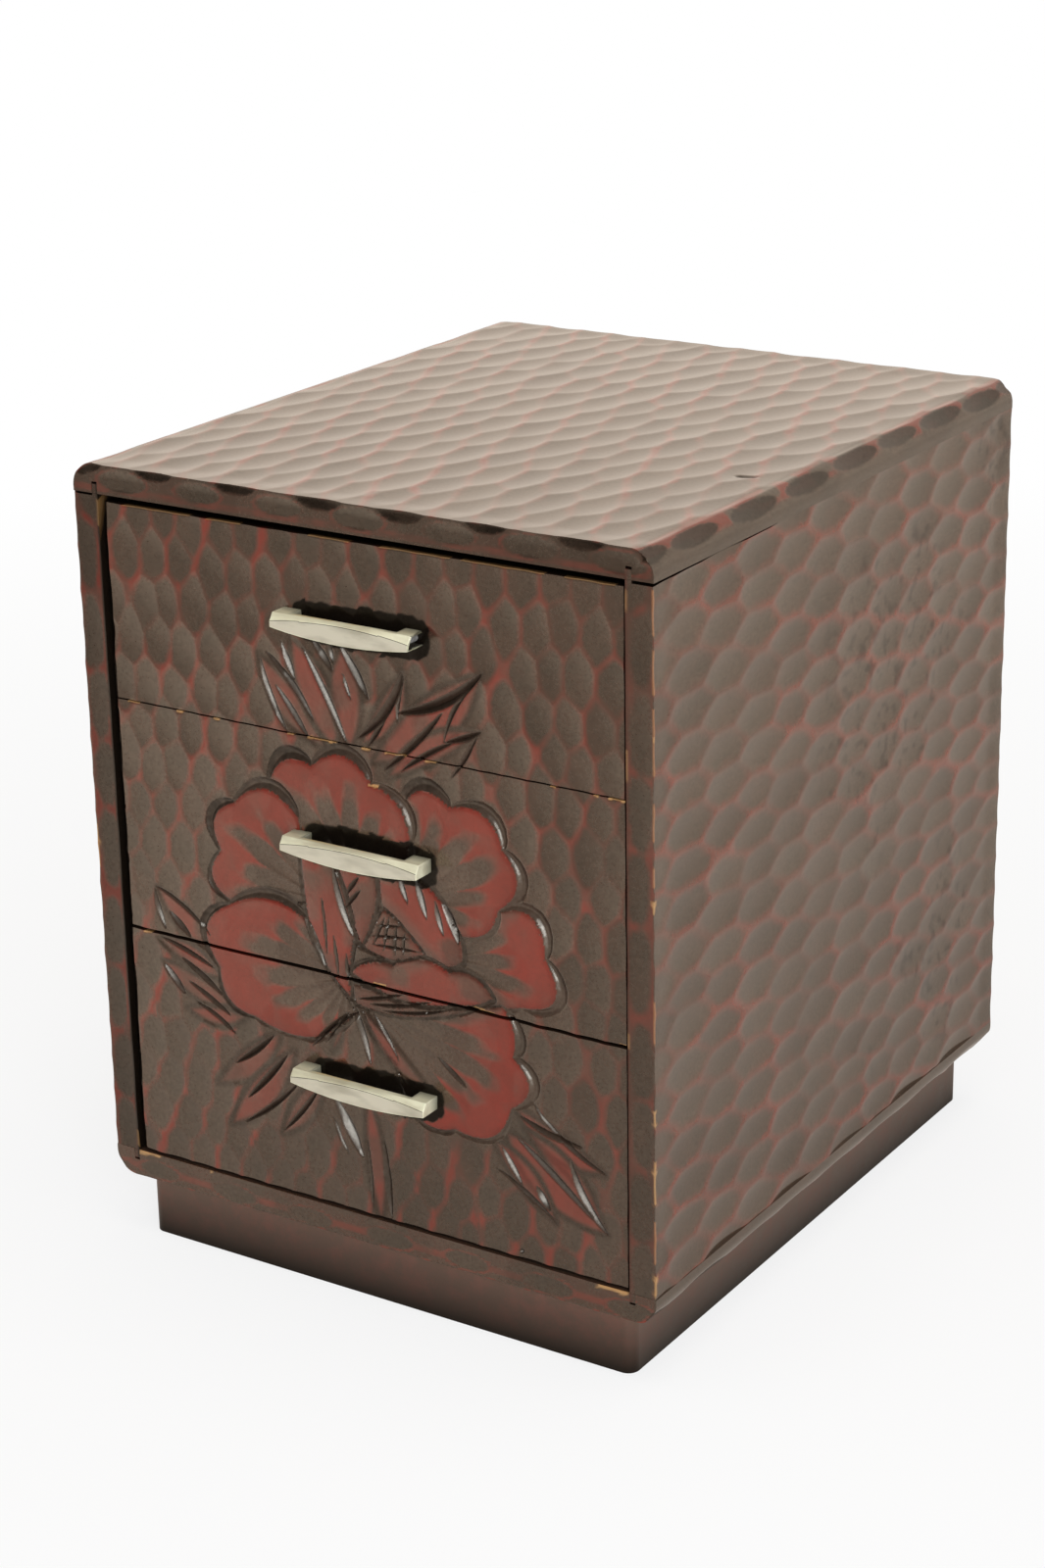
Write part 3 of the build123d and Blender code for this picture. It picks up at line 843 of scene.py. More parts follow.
def push_faces(board, faces, move):
    """Extrude faces by a move and drop what they leave behind; gives the moved vertices."""
    made = bmesh.ops.extrude_face_region(board, geom=faces)["geom"]
    verts = [item for item in made if isinstance(item, bmesh.types.BMVert)]
    bmesh.ops.translate(board, verts=verts, vec=move)
    left_over = [face for face in faces if face.is_valid]
    bmesh.ops.delete(board, geom=left_over, context="FACES_ONLY")
    return verts


def points_of(board):
    """All vertex places of a bmesh as an array in millimetres."""
    return np.array([vert.co for vert in board.verts]) / MM


def lies_at(places, metres):
    """Which of some places in millimetres lie at a coordinate given in metres."""
    return np.abs(places - metres / MM) < SAME_PLACE


# %% [markdown]
# A finished mesh becomes a piece of the cabinet: its vertices take their carved places, the arrays
# become attributes for the finish, and it rides on its body in place of the plain solid. Smooth
# shading with sharp edges above an angle keeps both bowls and corners right.


# %% Finishing a piece
def finish_piece(board, name, points, attributes, body, node, materials, sharp=48):
    """Turn a carved bmesh into a piece of the cabinet that stands for a node of the frame."""
    mesh = bpy.data.meshes.new(name)
    board.to_mesh(mesh)
    board.free()
    mesh.vertices.foreach_set("co", (points * MM).astype(np.float32).ravel())
    for key, values in attributes.items():
        layer = mesh.attributes.new(key, "FLOAT", "POINT")
        layer.data.foreach_set("value", np.clip(values, -1, 1).astype(np.float32))
    mesh.shade_smooth()
    mesh.set_sharp_from_angle(angle=math.radians(sharp))
    mesh.update()
    for material in materials:
        mesh.materials.append(material)
    piece = bpy.data.objects.new(name, mesh)
    bpy.context.scene.collection.objects.link(piece)
    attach(piece, body)
    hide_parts(node)
    print(name, "faces:", len(mesh.polygons), "size in mm:", np.round(np.ptp(points, axis=0), 1))
    return piece


# %% [markdown]
# Carved lacquer: a nearly black coat lies over a red one, on wood, and both are glossy under a warm
# film of age. The attributes say where red shows, where dark coat has gathered or shade is painted,
# and where bare wood is worn free. Noise breaks up each coat, and also how strongly it mirrors.

# %% Carved lacquer
DARK_COAT = (0.037, 0.023, 0.0155, 1)
DARK_COAT_WARM = (0.056, 0.028, 0.018, 1)
# Near-black where coat has gathered or shade is painted.
GATHERED_COAT_AND_SHADE = (0.004, 0.003, 0.002, 1)
RED_COAT = (0.23, 0.022, 0.014, 1)
RED_COAT_DEEP = (0.155, 0.018, 0.011, 1)
WORN_WOOD = (0.5, 0.26, 0.09, 1)
FILM_TINT = (1.0, 0.9, 0.75, 1)
COAT_IOR = 1.8


def attribute(tree, name):
    """Value of a point attribute."""
    return add_node(tree, "ShaderNodeAttribute", {"attribute_name": name}).outputs["Fac"]


def add_bump(tree, shader, strength, distance, height):
    """Fine unevenness of a surface, as a bump on its shader."""
    bump = add_node(tree, "ShaderNodeBump", Strength=strength, Distance=distance, Height=height)
    tree.links.new(bump.outputs["Normal"], shader.inputs["Normal"])


def start_lacquer(name):
    """A material with the warm film and the high refraction of old lacquer."""
    material, tree, shader = start_material(name)
    shader.inputs["Specular Tint"].default_value = FILM_TINT
    shader.inputs["IOR"].default_value = COAT_IOR
    return material, tree, shader


def carved_lacquer():
    """Dark over red lacquer, driven by the carving's attributes."""
    material, tree, shader = start_lacquer("carved_lacquer")
    mottle = noise(tree, 120, 5.0, 0.65)
    grain = noise(tree, 1300, 3.0, 0.7)
    # The dark attribute holds dark coat and painted shade alike.
    dark_coat_and_shade = attribute(tree, "dark")
    bare = attribute(tree, "bare")
    dark = blend_colors(tree, ramp(tree, mottle, 0.35, 0.7), DARK_COAT, DARK_COAT_WARM)
    red = blend_colors(tree, ramp(tree, mottle, 0.3, 0.75), RED_COAT, RED_COAT_DEEP)
    red_share = combine(tree, "MULTIPLY", attribute(tree, "red"), ramp(tree, grain, 0.2, 0.5, 0.75, 1.0))
    coat = blend_colors(tree, red_share, dark, red)
    coat = blend_colors(tree, dark_coat_and_shade, coat, GATHERED_COAT_AND_SHADE)
    coat = blend_colors(tree, bare, coat, WORN_WOOD)
    tree.links.new(coat, shader.inputs["Base Color"])
    satin = ramp(tree, mottle, 0.3, 0.75, 0.1, 0.17)
    for share, rougher in ((bare, 0.35), (dark_coat_and_shade, 0.1), (attribute(tree, "soft"), 0.16)):
        satin = combine(tree, "ADD", satin, combine(tree, "MULTIPLY", share, rougher))
    tree.links.new(satin, shader.inputs["Roughness"])
    gloss = ramp(tree, attribute(tree, "tone"), -1.0, 1.0, 0.46, 0.62)
    uneven = ramp(tree, grain, 0.25, 0.75, 0.65, 1.35)
    less_gloss_where_dark = ramp(tree, dark_coat_and_shade, 0.0, 1.0, 1.0, 0.14)
    on_red = ramp(tree, red_share, 0.7, 1.0, 1.0, 0.7)
    for share in (uneven, less_gloss_where_dark, on_red):
        gloss = combine(tree, "MULTIPLY", gloss, share)
    tree.links.new(gloss, shader.inputs["Specular IOR Level"])
    add_bump(tree, shader, 0.06, 0.2 * MM, grain)
    return material


lacquer = carved_lacquer()
print("nodes of the carved lacquer:", len(lacquer.node_tree.nodes))

# %% [markdown]
# The plinth has the plain dark coat, brushed on smooth, a little red where it is thin, and darker
# towards the floor. It has the same film and refraction as the carved boards, with height above the
# floor in place of the carving's attributes.

# %% Plain lacquer
PLINTH_COAT = (0.09, 0.044, 0.031, 1)
PLINTH_COAT_WORN = (0.15, 0.05, 0.036, 1)
PLINTH_COAT_LOW = (0.014, 0.009, 0.007, 1)


def plain_lacquer():
    """Smooth dark coat with brush marks along the boards, darkest near the floor."""
    material, tree, shader = start_lacquer("plain_lacquer")
    mottle = noise(tree, 160, 6.0, 0.75)
    brush = noise(tree, 500, 3.0, 0.6, stretch=(0.1, 0.1, 1.0))
    coat = blend_colors(tree, ramp(tree, mottle, 0.45, 0.7), PLINTH_COAT, PLINTH_COAT_WORN)
    place = add_node(tree, "ShaderNodeTexCoord").outputs["Object"]
    height = add_node(tree, "ShaderNodeSeparateXYZ", Vector=place).outputs["Z"]
    coat = blend_colors(tree, ramp(tree, height, 1 * MM, 15 * MM), PLINTH_COAT_LOW, coat)
    tree.links.new(coat, shader.inputs["Base Color"])
    tree.links.new(ramp(tree, mottle, 0.3, 0.7, 0.3, 0.42), shader.inputs["Roughness"])
    tree.links.new(ramp(tree, height, 0.0, 16 * MM, 0.08, 0.55), shader.inputs["Specular IOR Level"])
    add_bump(tree, shader, 0.1, 0.3 * MM, brush)
    return material


plinth_lacquer = plain_lacquer()
print("nodes of the plain lacquer:", len(plinth_lacquer.node_tree.nodes))

# %% [markdown]
# The drawer boxes, the shelves and the back are planed wood with a thin stain. Grain is noise drawn
# out along the board, coarse for the bands and fine for the pores, so that one material is made for
# each direction of the grain.

# %% Stained wood
WOOD_LIGHT = (0.42, 0.25, 0.12, 1)
WOOD_DARK = (0.24, 0.125, 0.055, 1)


def stained_wood(name, stretch):
    """Planed wood whose grain runs along the axis with the smallest stretch."""
    material, tree, shader = start_material(name)
    wide = noise(tree, 60, 3.0, 0.6, stretch)
    fine = noise(tree, 420, 5.0, 0.7, stretch)
    grain = combine(tree, "ADD", combine(tree, "MULTIPLY", wide, 0.6), combine(tree, "MULTIPLY", fine, 0.4))
    tone = blend_colors(tree, ramp(tree, grain, 0.36, 0.64), WOOD_DARK, WOOD_LIGHT)
    tree.links.new(tone, shader.inputs["Base Color"])
    tree.links.new(ramp(tree, fine, 0.3, 0.7, 0.48, 0.66), shader.inputs["Roughness"])
    add_bump(tree, shader, 0.15, 0.3 * MM, fine)
    return material


wood_lengthwise = stained_wood("inner_wood_lengthwise", (1.0, 0.06, 1.0))
wood_crosswise = stained_wood("inner_wood_crosswise", (0.06, 1.0, 1.0))
print("woods:", wood_lengthwise.name, wood_crosswise.name)

# %% [markdown]
# The pulls are a pale white metal, cast, rubbed dull along the bar and painted dark in the corners,
# for dirt and painted shade. The flat facet, which faces forward under a band that faces up, gets a
# darker copy of the metal as painted shade, and where the plating is worn, brass shows. The screws
# are dull steel. One function makes them all; only the colours and the roughness differ.

# %% Metals
PULL_PALE = (0.88, 0.84, 0.6, 1)
PULL_DULL = (0.62, 0.56, 0.38, 1)
# A darker copy of the pull colours for the facet: painted shade.
FACET_SHADED_PALE = (0.66, 0.6, 0.46, 1)
FACET_SHADED_DULL = (0.46, 0.41, 0.3, 1)
# Near-black for corners, seam and hollow: dirt and painted shade.
PULL_DIRT_AND_SHADE = (0.05, 0.04, 0.025, 1)
HOLLOW_PAINTED_SHADE = (0.012, 0.01, 0.007, 1)
PULL_BRASS = (0.75, 0.58, 0.28, 1)
STEEL = (0.42, 0.4, 0.37, 1)
STEEL_DULL = (0.26, 0.24, 0.22, 1)


def dull_metal(name, pale, dull, roughness):
    """Metal with a film of tarnish in streaks, dirt and painted shade in corners, brass on worn edges."""
    material, tree, shader = start_material(name)
    patches = noise(tree, 320, 3.0, 0.5, stretch=(0.3, 1.0, 1.0))
    pores = noise(tree, 1500, 3.0, 0.6)
    tone = blend_colors(tree, ramp(tree, patches, 0.42, 0.7), pale, dull)
    tone = blend_colors(tree, attribute(tree, "brass"), tone, PULL_BRASS)
    # Dark in the corners: dirt and painted shade.
    tone = blend_colors(tree, attribute(tree, "dirt_and_shade"), tone, PULL_DIRT_AND_SHADE)
    tree.links.new(tone, shader.inputs["Base Color"])
    tree.links.new(ramp(tree, patches, 0.3, 0.7, roughness, roughness + 0.12), shader.inputs["Roughness"])
    shader.inputs["Metallic"].default_value = 0.2
    add_bump(tree, shader, 0.1, 0.2 * MM, pores)
    return material


pull_metal = dull_metal("pull_metal", PULL_PALE, PULL_DULL, 0.42)
shaded_facet_metal = dull_metal("shaded_facet_metal", FACET_SHADED_PALE, FACET_SHADED_DULL, 0.46)
# Black metal for the seam and the hollow: painted shade.
painted_shade_metal = dull_metal("painted_shade_metal", PULL_DIRT_AND_SHADE, HOLLOW_PAINTED_SHADE, 0.6)
screw_steel = dull_metal("screw_steel", STEEL, STEEL_DULL, 0.35)
print("materials:", len(bpy.data.materials))

# %% [markdown]
# Behind each pull, and a little above and to the right of it, the front is painted dark: a painted
# shadow of the bar and a painted dark reflection of it in the glossy coat. Along the edges of the
# fronts the coat is chipped down to bare wood: each chip is a run along an edge, given by its start,
# its end and its height above the floor, and the chips under the top board are thin.

# %% Painted pull shadows and chips
DRAWERS = ("upper", "middle", "lower")
# How far the painted shadow behind each pull reaches.
PULL_SHADOW_RISE = 2.8
PULL_SHADOW_START = 2.4
PULL_SHADOW_PAST = 1.8
CHIP = {"height": 0.34, "bare": 0.95}
THIN_CHIP = {"height": 0.2, "bare": 0.6}
THIN_ABOVE = 190.0
CHIP_DEPTH = 0.2
CHIPS = (
    (-66, -46, 194.3), (-41, -31, 194.3), (-12, 0, 194.3), (8, 27, 194.3), (30, 52, 194.3), (57, 70, 194.3),
    (-68, -64.3, 145.2), (-53, -50.8, 145.2), (-42, -40, 145.2), (-20, -18, 145.2), (-14.5, -5.8, 145.2),
    (1, 3.6, 145.2), (7.7, 13.5, 145.2), (18.9, 22, 145.2), (52.4, 54.2, 145.2), (64, 65.2, 145.2),
    (67.7, 71.9, 145.2), (-67.3, -64.7, 85.2), (2, 5.7, 86.1), (30, 36.5, 86.1), (69.8, 71.9, 86.1),
    (2.6, 5.4, 136.3),
)


def paint_pull_shadow(relief, low, high):
    """Painted shadow and dark reflection of a pull, behind it and a little to the right of it."""
    start = low.x / MM + PULL_SHADOW_START
    end = high.x / MM + PULL_SHADOW_PAST
    along = np.abs(2 * relief["x"] - start - end) / (end - start)
    middle = (high.z + low.z) / 2 / MM
    rise = np.abs(relief["z"] - middle + 0.5 * relief["tone"]) / (high.z / MM + PULL_SHADOW_RISE - middle)
    ragged = cloud(relief["x"], relief["z"], 1.5, 16) - 0.5
    zone = ease(1.12, 0.88, along**8 + rise**3 + 0.35 * ragged)
    # Painted shadow and dark reflection of the pull, as dark coat.
    relief["dark"] = np.maximum(relief["dark"], 0.96 * zone)
    relief["red"] *= 1 - 0.8 * zone


def chip_edges(relief):
    """Break the coat away in ragged chips, down to bare wood."""
    x = relief["x"]
    z = relief["z"]
    ragged = cloud(x, z, 1.1, 15) - 0.5
    for start, end, chip_z in CHIPS:
        kind = THIN_CHIP if chip_z > THIN_ABOVE else CHIP
        past_end = np.maximum(start - x, x - end)
        away = np.maximum(np.abs(z - chip_z), past_end + kind["height"]) / kind["height"]
        chip = ease(1.0, 0.6, away + 0.9 * ragged)
        relief["bare"] = np.maximum(relief["bare"], kind["bare"] * chip)
        relief["height"] -= CHIP_DEPTH * chip


# %% [markdown]
# Wear isn't even over the cabinet's front: its lower and left parts are rubbed more widely, and at
# the upper right ridges of both slants show red. Three soft zones say where a point lies. The left
# edge of each front was trimmed with a knife, which left it wavy, and it is painted dark as the shade
# of the gap beside it.

# %% Relief of a drawer front
FRONT_SEED = 11
LEFT_EDGE_CUT = 0.7


def front_zones(x, z):
    """Three zones of the cabinet's front, from 0 to 1: its lower part, its left and its upper right."""
    lower = ease(105, 35, z + 0.25 * x)
    leftward = ease(0, -60, x)
    upper_right = ease(-10, 40, x + 0.3 * (z - 120))
    return lower, leftward, upper_right


def front_relief(x, z):
    """One drawer front: ground, flower, painted pull shadows, wavy left edge in painted shade, chips."""
    level, _, tone, _ = gouge_cuts(x, z, FRONT_CUT, FRONT_SEED)
    relief = {"x": x, "z": z, "height": FRONT_CUT["depth"] * level, "tone": tone}
    for key in ("dark", "bare", "soft"):
        relief[key] = np.zeros(x.shape)
    lower, leftward, upper_right = front_zones(x, z)
    relief["tone"] += leftward * (0.4 + 0.5 * lower)
    widen = -0.02 + 0.04 * leftward + 0.1 * lower - 0.06 * upper_right
    rest = 0.15 + 0.35 * (1 - lower) * (1 - upper_right) + 0.7 * upper_right
    least = 0.5 - 0.3 * lower * (1 - leftward)
    patches = least + (1 - least) * ease(0.2, 0.55, cloud(x, z, 14.0, FRONT_SEED + 2))
    rubbed = rubbed_red(x, z, FRONT_CUT, FRONT_SEED, widen, rest)
    relief["red"] = (0.82 + 0.15 * leftward) * patches * rubbed
    carve_flower(relief)
    # Painted shadow and dark reflection behind each pull.
    for drawer in DRAWERS:
        paint_pull_shadow(relief, *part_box(f"{drawer}_handle"))
    from_left = x - x.min() - 0.6 * cloud(0 * x, z, 6.5, FRONT_SEED + 3)
    left_edge_cut_and_shade = ease(0.5, 0.1, from_left)
    relief["height"] -= LEFT_EDGE_CUT * left_edge_cut_and_shade
    # Painted shade of the gap along the left edge.
    relief["dark"] = np.maximum(relief["dark"], 0.95 * left_edge_cut_and_shade)
    chip_edges(relief)
    return relief


# %% [markdown]
# A front is made like the other boards, but with the finest mesh, because it carries the flower.
# Behind the carved face it steps in at its ends, where it laps the sides of the drawer box, and its
# back is plain wood. Face points close to a line of the drawing are pulled on to it and joined by
# edges, so that no face lies across a rim or a V-cut.

# %% Drawer fronts before carving
FRONT_SPACING = 0.31 * MM
FRONT_LAP = 4.0 * MM
BOX_SIDE = 5.0 * MM
WOOD_SLOT = 1
shapes = [petal["edge"] for petal in (*PETALS, *INNER_PETALS)]
SHARP_LINES = [bowed_outline(edge) for edge in (*shapes, SEED_HEAD, CURL)]
SHARP_LINES += [stroke_line(stroke) for stroke in STROKES]


def front_blank(low, high):
    """Uncarved front: a fine face with a lap behind it, and plain wood at the back."""
    center = Vector(((low.x + high.x) / 2, low.y, (low.z + high.z) / 2))
    half_u = Vector(((high.x - low.x) / 2, 0, 0))
    half_v = Vector((0, 0, (high.z - low.z) / 2))
    board = board_mesh(center, half_u, half_v, FRONT_SPACING, [Vector((0, FRONT_LAP / 2, 0))] * 2)
    for side in (-1, 1):
        closing = [face for face in board.faces if len(face.verts) > 4]
        cut = [item for face in closing for item in (face, *face.edges, *face.verts)]
        bmesh.ops.bisect_plane(
            board, geom=list(dict.fromkeys(cut)), dist=CUT_SNAP,
            plane_co=(side * (high.x - BOX_SIDE), 0, 0), plane_no=(1, 0, 0),
        )
    back = [
        face for face in board.faces
        if face.normal.y > 0.9 and abs(face.calc_center_bounds().x) < BOX_SIDE
    ]
    push_faces(board, back, (0, high.y - low.y - FRONT_LAP, 0))
    for face in board.faces:
        if face.normal.y > 0.9:
            face.material_index = WOOD_SLOT
    return board


def pull_face_points(board, x, z, on_face, low, high):
    """Pull free points of the face on to the drawing's lines, and join the pulled ones by edges."""
    margin = FRONT_SPACING / MM
    within = (np.abs(x) < high.x / MM - margin) & (z > low.z / MM + margin) & (z < high.z / MM - margin)
    free_x = x[within]
    free_z = z[within]
    on_line = np.zeros(x.shape, bool)
    on_line[within] = pull_to_lines(free_x, free_z, SHARP_LINES, 0.5 * margin)
    x[within] = free_x
    z[within] = free_z
    board.verts.ensure_lookup_table()
    marked = np.flatnonzero(on_face)[on_line]
    bmesh.ops.connect_verts(board, verts=[board.verts[index] for index in marked])


print("lines to keep sharp:", len(SHARP_LINES))

# %% [markdown]
# The relief now moves the face points of each front: its height goes out along the face's normal, and
# its other arrays become the attributes of the finish. Off the face the coat is plain and dark, and
# only the right end, of which a little is seen in the gap, shows some red.

# %% Carved drawer fronts
FRONT_COAT = {"red": 0.0, "dark": 0.9, "bare": 0.0, "tone": 0.0, "soft": 0.0}
RIGHT_END_COAT = {"red": 0.3, "dark": 0.25, "bare": 0.0, "tone": 0.0, "soft": 0.0}


def carved_front(name):
    """Carved drawer front with its lap behind."""
    node = f"{name}_drawer_front"
    low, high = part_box(node)
    board = front_blank(low, high)
    points = points_of(board)
    on_face = lies_at(points[:, 1], low.y)
    x = points[on_face, 0]
    z = points[on_face, 2]
    pull_face_points(board, x, z, on_face, low, high)
    relief = front_relief(x, z)
    points[on_face, 0] = x
    points[on_face, 1] -= relief["height"]
    points[on_face, 2] = z
    right_end = lies_at(points[:, 0], high.x)
    attributes = {}
    for key, elsewhere in FRONT_COAT.items():
        values = np.full(len(points), elsewhere)
        values[right_end] = RIGHT_END_COAT[key]
        values[on_face] = relief[key]
        attributes[key] = values
    finish_piece(
        board, f"{name}_carved_front", points, attributes, f"{name}_drawer", node,
        (lacquer, wood_crosswise),
    )


for drawer in DRAWERS:
    carved_front(drawer)

# %% [markdown]
# The boards of the carcass are carved alike: coated dark all over at first, then cut face by face.
# Cuts get shallower towards the ends of a board, where a gouge enters and leaves the wood.
# Corners that hands and cloth touch are worn bare, in ragged runs.


# %% Carving and wear of a board
def blank_attributes(count):
    """Attributes of a board's points before carving: dark coat everywhere."""
    attributes = {key: np.zeros(count) for key in ("red", "dark", "bare", "tone")}
    attributes["dark"] += 0.9
    return attributes


def carve_face(points, attributes, where, outward, across, along, cut, seed, share=1.0):
    """Cut a ground of gouge marks into the chosen points, shallow near the ends, and rub its ridges red."""
    level, _, tone, _ = gouge_cuts(across, along, cut, seed)
    from_end = np.minimum(along - along.min(), along.max() - along)
    depth = share * cut["depth"] * (0.35 + 0.65 * ease(0.0, 8.0, from_end))
    points[where] += np.asarray(outward) * (depth * level)[:, None]
    patches = 0.5 + 0.5 * ease(0.2, 0.6, cloud(across, along, 16.0, seed + 3))
    attributes["red"][where] = share * patches * rubbed_red(across, along, cut, seed, 0.0, cut["rest"])
    attributes["tone"][where] = tone
    attributes["dark"][where] = 0.0


def worn_runs(along, away, runs, width, seed):
    """Bare wood along an edge, in runs that are ragged and thin out away from it."""
    ragged = cloud(along, away, 1.2, seed) - 0.5
    bare = np.zeros(along.shape)
    for start, end in runs:
        past_end = np.maximum(start - along, along - end)
        bare = np.maximum(bare, ease(1.0, 0.5, np.maximum(away / width, 1 + past_end) + 0.8 * ragged))
    return bare


# %% [markdown]
# A side board stands between the bottom and the top board. A thin tongue at both of its ends, next to
# its inner face, enters a groove there. The board is extruded inwards from its outer face, and the
# last part is as thick as the tongues, which are then pushed out of its ends.

# %% Side boards before carving
SIDE_SPACING = 0.64 * MM
TONGUE = 1.6 * MM
TONGUE_LENGTH = 2.3 * MM
SHOULDER_STEPS = 8
TONGUE_STEPS = 2
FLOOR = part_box("bottom_board")[1].z
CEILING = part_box("top_board")[0].z


def side_blank(low, high, outer, inner, side):
    """Uncarved side board with a tongue at each end."""
    center = Vector((outer, (low.y + high.y) / 2, (FLOOR + CEILING) / 2))
    half_u = Vector((0, side * (high.y - low.y) / 2, 0))
    half_v = Vector((0, 0, (CEILING - FLOOR) / 2))
    shoulder = Vector((-side * (high.x - low.x - TONGUE) / SHOULDER_STEPS, 0, 0))
    tongue = Vector((-side * TONGUE / TONGUE_STEPS, 0, 0))
    steps = [shoulder] * SHOULDER_STEPS + [tongue] * TONGUE_STEPS
    board = board_mesh(center, half_u, half_v, SIDE_SPACING, steps)
    for up in (-1, 1):
        strip = [
            face for face in board.faces
            if face.normal.z * up > 0.9 and abs(face.calc_center_median().x - inner) < TONGUE
        ]
        push_faces(board, strip, (0, 0, up * TONGUE_LENGTH))
    return board


print("height between the boards in mm:", round((CEILING - FLOOR) / MM, 1))

# %% [markdown]
# The corners of the sides are worn: the outer ones in thin red and pale runs, the inner ones more
# softly. The joint under the top has opened at the front, so that a slit shows. On the right it is
# long; on the left it is short and closed at the outer corner. Runs are heights above the floor, and
# each table has one entry for the left board, -1, and one for the right board, 1.

# %% Worn corners and slits of the sides
ARRIS_RUNS = {-1: (), 1: ((184, 195), (171, 181), (152, 168), (137, 146), (126, 131), (88, 99), (33, 44))}
CORNER_RUNS = {-1: ((100, 112),), 1: ((67.8, 71.9), (47.9, 59.1), (24.0, 30.2), (120, 123), (160, 162))}
INNER_RUNS = {-1: ((24, 29), (188, 195)), 1: ((86, 90), (150, 158), (189, 194))}
SLITS = {-1: {"height": 0.6, "length": 16.0}, 1: {"height": 0.8, "length": 110.0}}


def wear_corners(attributes, side, z, from_front, from_outer, from_inner):
    """Rub the front corners of a side board red and bare."""
    corner = np.maximum(from_front, from_outer)
    thin = 0.42 * worn_runs(z, corner, ARRIS_RUNS[side], 0.36, 36)
    worn = 0.9 * worn_runs(z, corner, CORNER_RUNS[side], 0.7, 37)
    inner_corner = np.maximum(from_front, from_inner)
    rubbed = 0.36 * worn_runs(z, inner_corner, INNER_RUNS[side], 0.6, 38)
    attributes["red"] = np.maximum(attributes["red"], 1.7 * thin)
    attributes["bare"] = np.maximum(np.maximum(thin, worn), rubbed)


def open_slit(points, side, z, from_front, from_outer, shoulder_width):
    """Lower the upper end of a side board beside its tongue, most at the front."""
    slit = SLITS[side]["height"] * np.clip(1 - from_front / SLITS[side]["length"], 0, 1) ** 1.8
    if side < 0:
        slit *= ease(0.0, 0.9, from_outer)
    below = CEILING / MM - z
    on_shoulder = (below > -SAME_PLACE) & (from_outer < shoulder_width + SAME_PLACE)
    points[:, 2] -= slit * ease(1.2, 0.0, below) * on_shoulder


# %% [markdown]
# The sides have longer cuts than the fronts, which run from front to back, and their front and rear
# edges have one row of upright ones. The carvings meet along the corner, which they leave wavy. The
# left front edge is darker and redder than the right one, and dark spots of old dirt lie on the rear
# part of the right side.

# %% Carved side boards
SIDE_CUT = {
    "pitch": 9.6, "rows": 16.2, "half_width": 5.3, "half_length": 11.8, "depth": 0.72, "stagger": 0.5,
    "worn": 0.2, "wander": 0.14, "lands": 0.6, "lines": 0.7, "line_width": 2.0, "way": 1, "rest": 1.0,
}
EDGE_CUT = {
    "pitch": 7.2, "rows": 19.0, "half_width": 4.0, "half_length": 10.8, "depth": 0.26, "stagger": 0.0,
    "worn": 0.12, "wander": 0.13, "lands": 0.55, "lines": 0.7, "line_width": 1.2, "way": 1, "rest": 1.0,
}
EDGE_COAT = {-1: {"red": 2.3, "dark": 0.38}, 1: {"red": 1.0, "dark": 0.16}}
INNER_COAT = {-1: {"red": 0.0, "dark": 0.9}, 1: {"red": 0.3, "dark": 0.35}}
SPOT_SHARE = {-1: 0.0, 1: 0.4}


def carved_side(name, side):
    """Side board: long cuts on its outer face, upright ones on its edges, worn corners and a slit."""
    low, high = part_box(name)
    outer = high.x if side > 0 else low.x
    inner = low.x if side > 0 else high.x
    board = side_blank(low, high, outer, inner, side)
    points = points_of(board)
    x, y, z = points.T.copy()
    attributes = blank_attributes(len(points))
    for edge_y, outward, seed in ((low.y, (0, -1, 0), 31), (high.y, (0, 1, 0), 33)):
        at = lies_at(y, edge_y)
        across = np.abs(x[at]) - abs(inner) / MM
        carve_face(points, attributes, at, outward, across, z[at], EDGE_CUT, seed)
        patches = 0.3 + 0.7 * ease(0.25, 0.6, cloud(4 * x[at], z[at], 9.0, seed + 5))
        attributes["red"][at] *= EDGE_COAT[side]["red"] * patches
        attributes["dark"][at] = EDGE_COAT[side]["dark"]
    at = lies_at(x, outer)
    carve_face(points, attributes, at, (side, 0, 0), z[at], y[at], SIDE_CUT, 35)
    attributes["tone"][at] += 0.5 * ease(90, 160, z[at])
    spots = ease(0.6, 0.85, cloud(y[at], z[at], 2.0, 39)) * ease(0.4, 0.75, cloud(y[at], z[at], 21.0, 40))
    attributes["dark"][at] = SPOT_SHARE[side] * spots * ease(-50, 20, y[at])
    at = lies_at(x, inner)
    for key, value in INNER_COAT[side].items():
        attributes[key][at] = value
    from_front = y - low.y / MM
    from_outer = np.abs(x - outer / MM)
    from_inner = np.abs(x - inner / MM)
    wear_corners(attributes, side, z, from_front, from_outer, from_inner)
    open_slit(points, side, z, from_front, from_outer, (high.x - low.x - TONGUE) / MM)
    finish_piece(board, f"carved_{name}", points, attributes, "cabinet", name, (lacquer,))


carved_side("left_side", -1)
carved_side("right_side", 1)

# %% [markdown]
# The top and bottom boards have rounded long edges. Their mesh starts square: a vertex inside the
# corner square is then moved on to the round, at the same share of the way out. A bevel would round
# the edges too, but this way each point keeps its distance along the surface, and cuts wrap round.

# %% Rounded long edges
ROUND = 6.0


